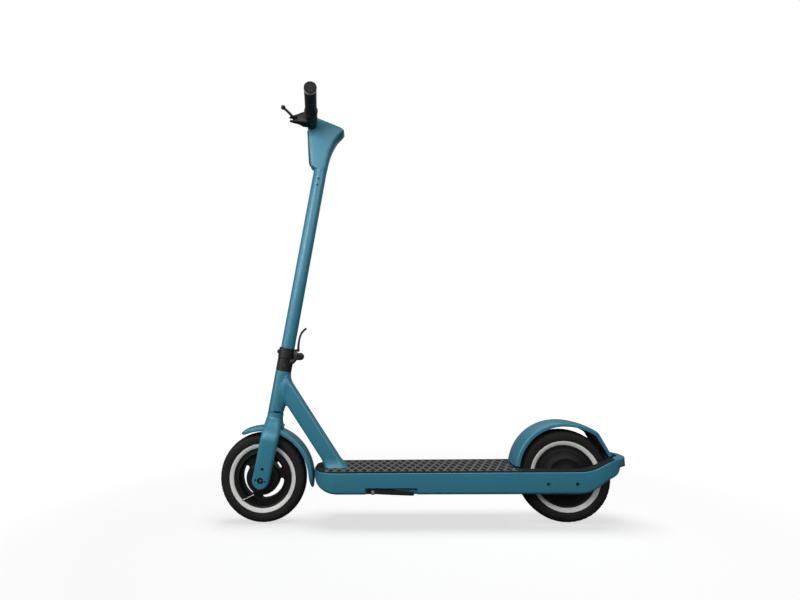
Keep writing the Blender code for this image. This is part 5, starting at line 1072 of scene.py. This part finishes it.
def fold_lever():
    table = mm((3, 0.5, 3.2), (15, -1.2, 3), (31, -2, 2.7), (45, -0.8, 2.6), (57.5, 3.8, 2.8),
               (70, 13.2, 2.6))
    steps = 32
    points = []
    for k in range(steps + 1):
        up = 0.003 + 0.067 * k / steps
        back, width = smooth_row(table, up)
        points.append((LEVER_PIN[0] + back, LEVER_PIN[1] + up, width))
    loops = []
    for k, (x, z, width) in enumerate(points):
        ahead, behind = points[min(k + 1, steps)], points[max(k - 1, 0)]
        run = Vector((ahead[0] - behind[0], ahead[1] - behind[1])).normalized()
        outline = rounded_loop((-width, -0.0052), (width, 0.0052), 0.0012, 4)
        loops.append([(x + a * run.y, b, z - a * run.x) for a, b in outline])
    hub = tube(0.0023, 0.0043, -0.006, 0.006, "Y", (LEVER_PIN[0], 0, LEVER_PIN[1]))
    skin("fold_lever_skin", moved(joined(hub, loft(loops)), STEM), "fold_lever")


hinge()
fold_lever()
dress("safety_button", 0.0008, 3)


# Stem and head

# Height, front edge, rear edge, half width, near corners and far corners, up the head
HEAD_TABLE = [(TUBE_TOP, -0.0207, 0.0207, 0.0207, 0.0206, 0.0206)]
HEAD_TABLE += mm(
    (944.4, -21.2, 20.7, 20.8, 19.5, 20), (948, -26.2, 20.8, 21, 16, 19), (953.6, -32.2, 21, 21.3, 12, 18),
    (969.1, -36.8, 21.4, 22, 8.5, 17), (1000, -44, 24.2, 24, 7, 16), (1028.9, -50.2, 30.6, 25.8, 6.2, 15),
    (1051.6, -55.4, 39, 27.2, 6, 13), (1070, -61, 50, 28.2, 6, 11.5), (1077.4, -63.4, 53.3, 28.5, 6, 10.5),
    (1134.1, -67.5, 60, 29, 6, 10.5))


def stem_tube():
    inner, foot, top = TUBE_RADIUS - 0.0027, HINGE_SPLIT + 0.0043, TUBE_TOP - 0.0003
    cuts = []
    screws = []
    for height in STEM_SCREW_HEIGHTS:
        cuts.append(moved(disc(0.0033, -0.03, 0.0, "Y", (0.0012, 0, height), 24), STEM))
        screws.append(screw(on_stem(0.0012, -0.0188, height), (0, -1, 0), 0.0031, 0.001, -0.0008))
    skin("stem_tube_skin", moved(tube(inner, TUBE_RADIUS, foot, top, "Z", steps=ROUND), STEM), "stem_tube",
         cuts=cuts)
    piece("stem_screws", joined(*screws), "folding_stem", "black_metal", END_RUBBER)


def head():
    loops = []
    heights = [TUBE_TOP + 0.0163 * (k / 12) ** 1.5 for k in range(12)]
    heights += [0.9555 + (1.1341 - 0.9555) * k / 40 for k in range(41)]
    for height in heights:
        front, rear, half, near, far = smooth_row(HEAD_TABLE, height)
        loops.append(section("Z", height, front, rear, half, (near, far, far, near), 9))
    shell = sliced(loft(loops), (0, 0, HEAD_TOP_AT_AXIS), Vector((HEAD_TOP_SLOPE, 0, 1)).normalized())
    shell = sliced(shell, (-0.043, 0, HEAD_TOP_AT_AXIS + 0.0108), Vector((-0.45, 0, 0.9)).normalized())
    skin("stem_head_skin", moved(eased(shell, 0.0016, 3, 40), STEM), "stem_head", sharp=40)


def front_cover():
    loops = []
    low = TUBE_TOP + 0.02
    high = BAR_HEIGHT - BAR_RADIUS - 0.004
    for k in range(31):
        height = low + (high - low) * k / 30
        front, _, half, _, _ = smooth_row(HEAD_TABLE, height)
        wide = max(0.0075, half - 0.004) * min(1.0, min(height - low, high - height) / 0.004 + 0.35)
        loops.append(section("Z", height, front - 0.0032, front + 0.0022, wide, 0.0024, 4))
    face = smooth_row(HEAD_TABLE, HEADLIGHT_HEIGHT)[0] - 0.0002
    place = STEM @ Matrix.Translation((face, 0, HEADLIGHT_HEIGHT)) @ Matrix.Rotation(radians(-12.5), 4, "Y")
    hole = moved(disc(0.0112, -0.02, 0.02, "X", steps=48), place)
    skin("front_cover_skin", moved(loft(loops), STEM), "head_front_cover", cuts=[hole])
    bezel = eased(tube(0.01, 0.0118, -0.0022, 0.0004, "X", steps=64), 0.0004)
    piece("headlight_bezel", moved(bezel, place), "folding_stem", "black_metal")
    glass = mm((0, -2), (4, -1.9), (7, -1.5), (9.2, -0.8), (10.1, 0.2), (10.1, 1.4), (0, 1.4))
    skin("headlight_glass", moved(lathe(glass, "X", steps=64), place), "headlight_lens")
    bowl = mm((10, 1.6), (8, 4), (4, 6.2), (0, 6.8), (0, 8), (10, 8))
    piece("headlight_bowl", moved(lathe(bowl, "X", steps=48), place), "folding_stem", "steel", PALE_METAL)


def display():
    tilt = Matrix.Translation((0, 0, HEAD_TOP_AT_AXIS)) @ Matrix.Rotation(atan2(HEAD_TOP_SLOPE, 1.0), 4, "Y")
    place = STEM @ tilt @ Matrix.Translation((0, 0, 0.0003))
    outline = rounded_loop((-0.044, -0.0265), (0.0535, 0.0265), (0.008, 0.013, 0.013, 0.008), 10)
    hole = moved(disc(0.0056, -0.01, 0.01, "Z", (BUTTON_X, 0, 0), 48), place)
    panel = eased(prism(outline, "Z", 0.0, 0.0025), 0.0007, 3, 40)
    skin("display_glass_skin", moved(panel, place), "display_panel", cuts=[hole])
    knob = mm((0, -1.2), (5.2, -1.2), (5.2, 3), (4.6, 3.7), (3.4, 3.6), (2.8, 3.2), (0, 3.1))
    skin("power_button_skin", moved(lathe(knob, "Z", (BUTTON_X, 0, 0), 48), place), "power_button")


stem_tube()
head()
front_cover()
display()


# Handlebar and controls

def arm_frame(side):
    """The frame of one arm of the bar: +Z runs out along it and +X points forward and down."""
    across = sin(BAR_SWEEP)
    axis = Vector((across * cos(LEAN), side * cos(BAR_SWEEP), across * sin(LEAN))).normalized()
    back = BAR_BEND_RADIUS * (1 - cos(BAR_SWEEP))
    out = side * (BAR_BEND_START + BAR_BEND_RADIUS * across)
    ahead = Vector((-cos(LEAN), 0, sin(LEAN)))
    down = Vector((sin(LEAN), 0, -cos(LEAN)))
    forward = ahead * cos(BRAKE_DROP) + down * sin(BRAKE_DROP)
    forward = (forward - forward.dot(axis) * axis).normalized()
    rotation = Matrix((forward, axis.cross(forward), axis)).transposed().to_4x4()
    place = Matrix.Translation((BAR_BACK + back * cos(LEAN), out, BAR_HEIGHT + back * sin(LEAN)))
    return STEM @ place @ rotation


def handlebar():
    arm = []
    for k in range(9):
        turn = BAR_SWEEP * k / 8
        arm.append((BAR_BEND_START + BAR_BEND_RADIUS * sin(turn), BAR_BEND_RADIUS * (1 - cos(turn)), turn))
    y, back, _ = arm[-1]
    arm.append((y + BAR_ARM_LENGTH * cos(BAR_SWEEP), back + BAR_ARM_LENGTH * sin(BAR_SWEEP), BAR_SWEEP))
    up = Vector((-sin(LEAN), 0, cos(LEAN)))
    loops = []
    for y, back, turn in [(-y, back, -turn) for y, back, turn in reversed(arm)] + arm:
        centre = Vector((BAR_BACK + back * cos(LEAN), y, BAR_HEIGHT + back * sin(LEAN)))
        aside = Vector((cos(turn) * cos(LEAN), -sin(turn), cos(turn) * sin(LEAN)))
        loops.append([centre + a * aside + b * up for a, b in arc((0, 0), BAR_RADIUS, 0, 360, 48)[:-1]])
    skin("handlebar_skin", moved(loft(loops), STEM), "handlebar")
    collars = []
    for side in (-1, 1):
        low, high = span(side, 0.0272, 0.0318)
        outline = [(BAR_RADIUS, low), (0.0152, low), (0.0158, low + 0.0006), (0.0158, high - 0.001),
                   (0.0148, high), (BAR_RADIUS, high)]
        collars.append(lathe(outline, "Y", (BAR_BACK, 0, BAR_HEIGHT), 64))
    piece("bar_collars", moved(joined(*collars), STEM), "folding_stem", "black_plastic")


def grips():
    outer = BAR_ARM_LENGTH + 0.0008
    inner = outer - GRIP_LENGTH
    cap = outer + GRIP_END_THICKNESS
    start, end = inner + 0.0095, outer - 0.0058
    bore, grip = BAR_RADIUS * 1000, GRIP_RADIUS * 1000
    sleeve = raised(inner, (bore, 0), (19.6, 0), (20.5, 1), (20.5, 3.8), (19.8, 5.2), (18.4, 7), (grip, 9.5))
    sleeve += [(GRIP_RADIUS - 0.0004 * sin(pi * k / 12), start + (end - start) * k / 12)
               for k in range(1, 12)]
    sleeve += raised(outer, (grip, -5.8), (grip - 1, -5), (bore, -5))
    band = raised(outer, (bore, -4.8), (17.4, -4.8), (17.8, -4.2), (17.8, 2.4), (17.4, 3), (bore, 3))
    plug = raised(outer, (0, 3.1), (17.2, 3.1), (17.8, 3.6))
    plug += raised(cap, (17.8, -1.2), (16.8, -0.3), (15.8, -0.2), (14.8, -1), (0, -1))
    pitch, half = 0.0042, 0.0004
    for side, word in SIDES:
        place = arm_frame(side)
        sleeve_mesh, band_mesh, plug_mesh = (moved(lathe(profile, "Z", steps=64), place)
                                             for profile in (sleeve, band, plug))
        skin(f"grip_{word}_sleeve", sleeve_mesh, f"grip_{word}")
        piece(f"grip_{word}_band", band_mesh, "folding_stem", "steel", BAND_METAL)
        ridges = []
        for turn in (45, -45):
            for k in range(-3, 4):
                reach = sqrt(0.0146 ** 2 - (k * pitch) ** 2)
                bar = box((-reach, k * pitch - half, cap - 0.0014), (reach, k * pitch + half, cap - 0.0003))
                ridges.append(moved(bar, Matrix.Rotation(radians(turn), 4, "Z")))
        piece(f"grip_{word}_end", plug_mesh, "folding_stem", "grip_rubber", END_RUBBER)
        piece(f"grip_{word}_ridges", moved(joined(*ridges), place), "folding_stem", "grip_rubber")


handlebar()
grips()
for node, width, segments in (("brake_perch", 0.0012, 3), ("brake_lever", 0.0006, 2), ("bell_ring", 0.001, 3),
                              ("bell_striker", 0.0005, 2), ("throttle_body", 0.0008, 3),
                              ("throttle_lever", 0.0008, 3), ("kickstand_bracket", 0.0006, 2),
                              ("kickstand_leg", 0.0012, 3), ("rear_fender_stay", 0.0008, 3)):
    dress(node, width, segments)


# Tail light, kickstand and small nodes whose shape is kept

def tail_slice(places, inset):
    """A slice of the deck's end between places along it, set in from the paint."""
    loops = []
    for x in places:
        half = deck_section(x)[0] - inset
        loops.append(section("X", x, TAIL_BOTTOM + 0.0018, TAIL_TOP - 0.0038, half, 0.0012, 4))
    return loft(loops)


rim = tail_slice((TAIL_LIGHT_X - 0.0052, TAIL_LIGHT_X - 0.0002), 0.0003)
piece("tail_light_frame", rim, "chassis", "black_plastic")
lens_places = [TAIL_LIGHT_X] + [TAIL_END_X - back for back in mm((8, 6, 4.4, 3, 2, 1.3))[0]]
skin("tail_light_lens", tail_slice(lens_places, 0.0008), "tail_light")
thin = ("charge_port", "brake_arm", "brake_plate")
nuts = [f"{end}_axle_nut_{word}" for end in ("front", "rear") for _, word in SIDES]
for node in ("bottom_cover", "charge_port", "charge_port_cap", "brake_arm", "brake_plate", "dropout_left",
             "dropout_right", *nuts):
    dress(node, 0.0004 if node in thin else 0.0006)
stand_bolt = screw((STAND_PIVOT[0], -0.0885, STAND_PIVOT[2]), (0, -1, 0), 0.0046, 0.0014)
piece("kickstand_bolt", stand_bolt, "chassis", "steel", PALE_METAL)


# Camera, stage and light

def camera():
    yaw, pitch, roll = radians(-3.4952), radians(-7.0322), radians(-1.1257)
    ahead = Vector((sin(yaw) * cos(pitch), cos(yaw) * cos(pitch), -sin(pitch)))
    level = Vector((cos(yaw), -sin(yaw), 0))
    top = level.cross(ahead)
    right = cos(roll) * level + sin(roll) * top
    up = -sin(roll) * level + cos(roll) * top
    data = bpy.data.cameras.new("camera")
    data.sensor_width = 36.0
    data.lens = 22.27
    data.shift_x = 0.08295
    data.shift_y = -0.00694
    obj = add_object("camera", data)
    rotation = Matrix((right, up, -ahead)).transposed().to_4x4()
    obj.matrix_world = Matrix.Translation((-0.14105, -1.50019, 0.47612)) @ rotation
    bpy.context.scene.camera = obj


def floor():
    """A white floor that shades to grey near the scooter, with the scooter's shadow on it."""
    bm = bmesh.new()
    bmesh.ops.create_grid(bm, x_segments=8, y_segments=8, size=60.0)
    obj = mesh_object("floor", bm)
    material = bpy.data.materials.new("studio_floor")
    nodes = Nodes(material, clear=True)
    seen = nodes.add("LightPath", {}).outputs["Is Camera Ray"]
    tone = nodes.add("Mix", {"Factor": seen, 6: (0.22, 0.22, 0.22, 1), 7: (0.8, 0.8, 0.8, 1)},
                     data_type="RGBA")
    place = nodes.add("NewGeometry", {}).outputs["Position"]
    distance = nodes.add("VectorMath", {0: place}, operation="LENGTH").outputs["Value"]
    reach = {"Value": distance, "From Min": 0.75, "From Max": 2.2, "To Min": 0.7, "To Max": 1.0}
    fade = nodes.add("MapRange", reach, interpolation_type="SMOOTHSTEP").outputs["Result"]
    matt = nodes.add("BsdfDiffuse", {"Color": tone.outputs[2]})
    glow = nodes.add("Emission", {"Strength": nodes.maths("MULTIPLY", fade, seen)})
    both = nodes.add("AddShader", {0: matt.outputs[0], 1: glow.outputs[0]})
    nodes.add("OutputMaterial", {"Surface": both.outputs[0]})
    obj.data.materials.append(material)


def world():
    """A dim room that the camera sees as white, and metal and glass in part."""
    sky = bpy.data.worlds.new("studio")
    bpy.context.scene.world = sky
    nodes = Nodes(sky, clear=True)
    rays = nodes.add("LightPath", {}).outputs
    white_share = rays["Is Camera Ray"]
    for name, weight in (("Is Transmission Ray", 1.0), ("Is Glossy Ray", 0.15)):
        white_share = nodes.maths("MAXIMUM", white_share, nodes.maths("MULTIPLY", rays[name], weight))
    room, white = (nodes.add("Background", {"Color": (1, 1, 1, 1), "Strength": strength}).outputs[0]
                   for strength in (0.05, 1.0))
    mix = nodes.add("MixShader", {0: white_share, 1: room, 2: white})
    nodes.add("OutputWorld", {"Surface": mix.outputs[0]})


def lamp(name, place, target, size, power, on_floor=False):
    """A soft lamp. Only the one above lights the floor, so that the shadow lies under the scooter."""
    data = bpy.data.lights.new(name, "AREA")
    data.shape = "RECTANGLE"
    data.size, data.size_y = size
    data.energy = power
    obj = add_object(name, data)
    obj.location = place
    obj.rotation_mode = "QUATERNION"
    obj.rotation_quaternion = (Vector(target) - Vector(place)).to_track_quat("-Z", "Y")
    if not on_floor:
        lit = bpy.data.collections.new(name + "_lights")
        lit.objects.link(bpy.data.objects["floor"])
        lit.collection_objects[0].light_linking.link_state = "EXCLUDE"
        obj.light_linking.receiver_collection = lit


camera()
floor()
world()
lamp("key_softbox", (-1.2, -1.8, 1.5), (-0.15, 0.0, 0.8), (1.0, 1.0), 23.0)
lamp("side_softbox", (-2.4, -1.00, 1.3), (-0.1, 0.0, 0.6), (1.0, 1.6), 15.0)
lamp("front_fill", (0.1, -2.4, 1.5), (-0.05, 0.0, 0.7), (1.3, 1.0), 10.0)
lamp("right_fill", (1.35, -1.52, 1.5), (0.0, 0.0, 0.8), (1.0, 1.0), 11.0)
lamp("top_softbox", (0.1, 0.1, 2.7), (0.05, 0.0, 0.0), (2.4, 1.4), 27.0, on_floor=True)
lamp("rear_fill", (0.3, 2.2, 2.2), (0.0, 0.0, 0.5), (1.8, 1.8), 3.5)
bpy.context.scene.view_settings.view_transform = "Standard"
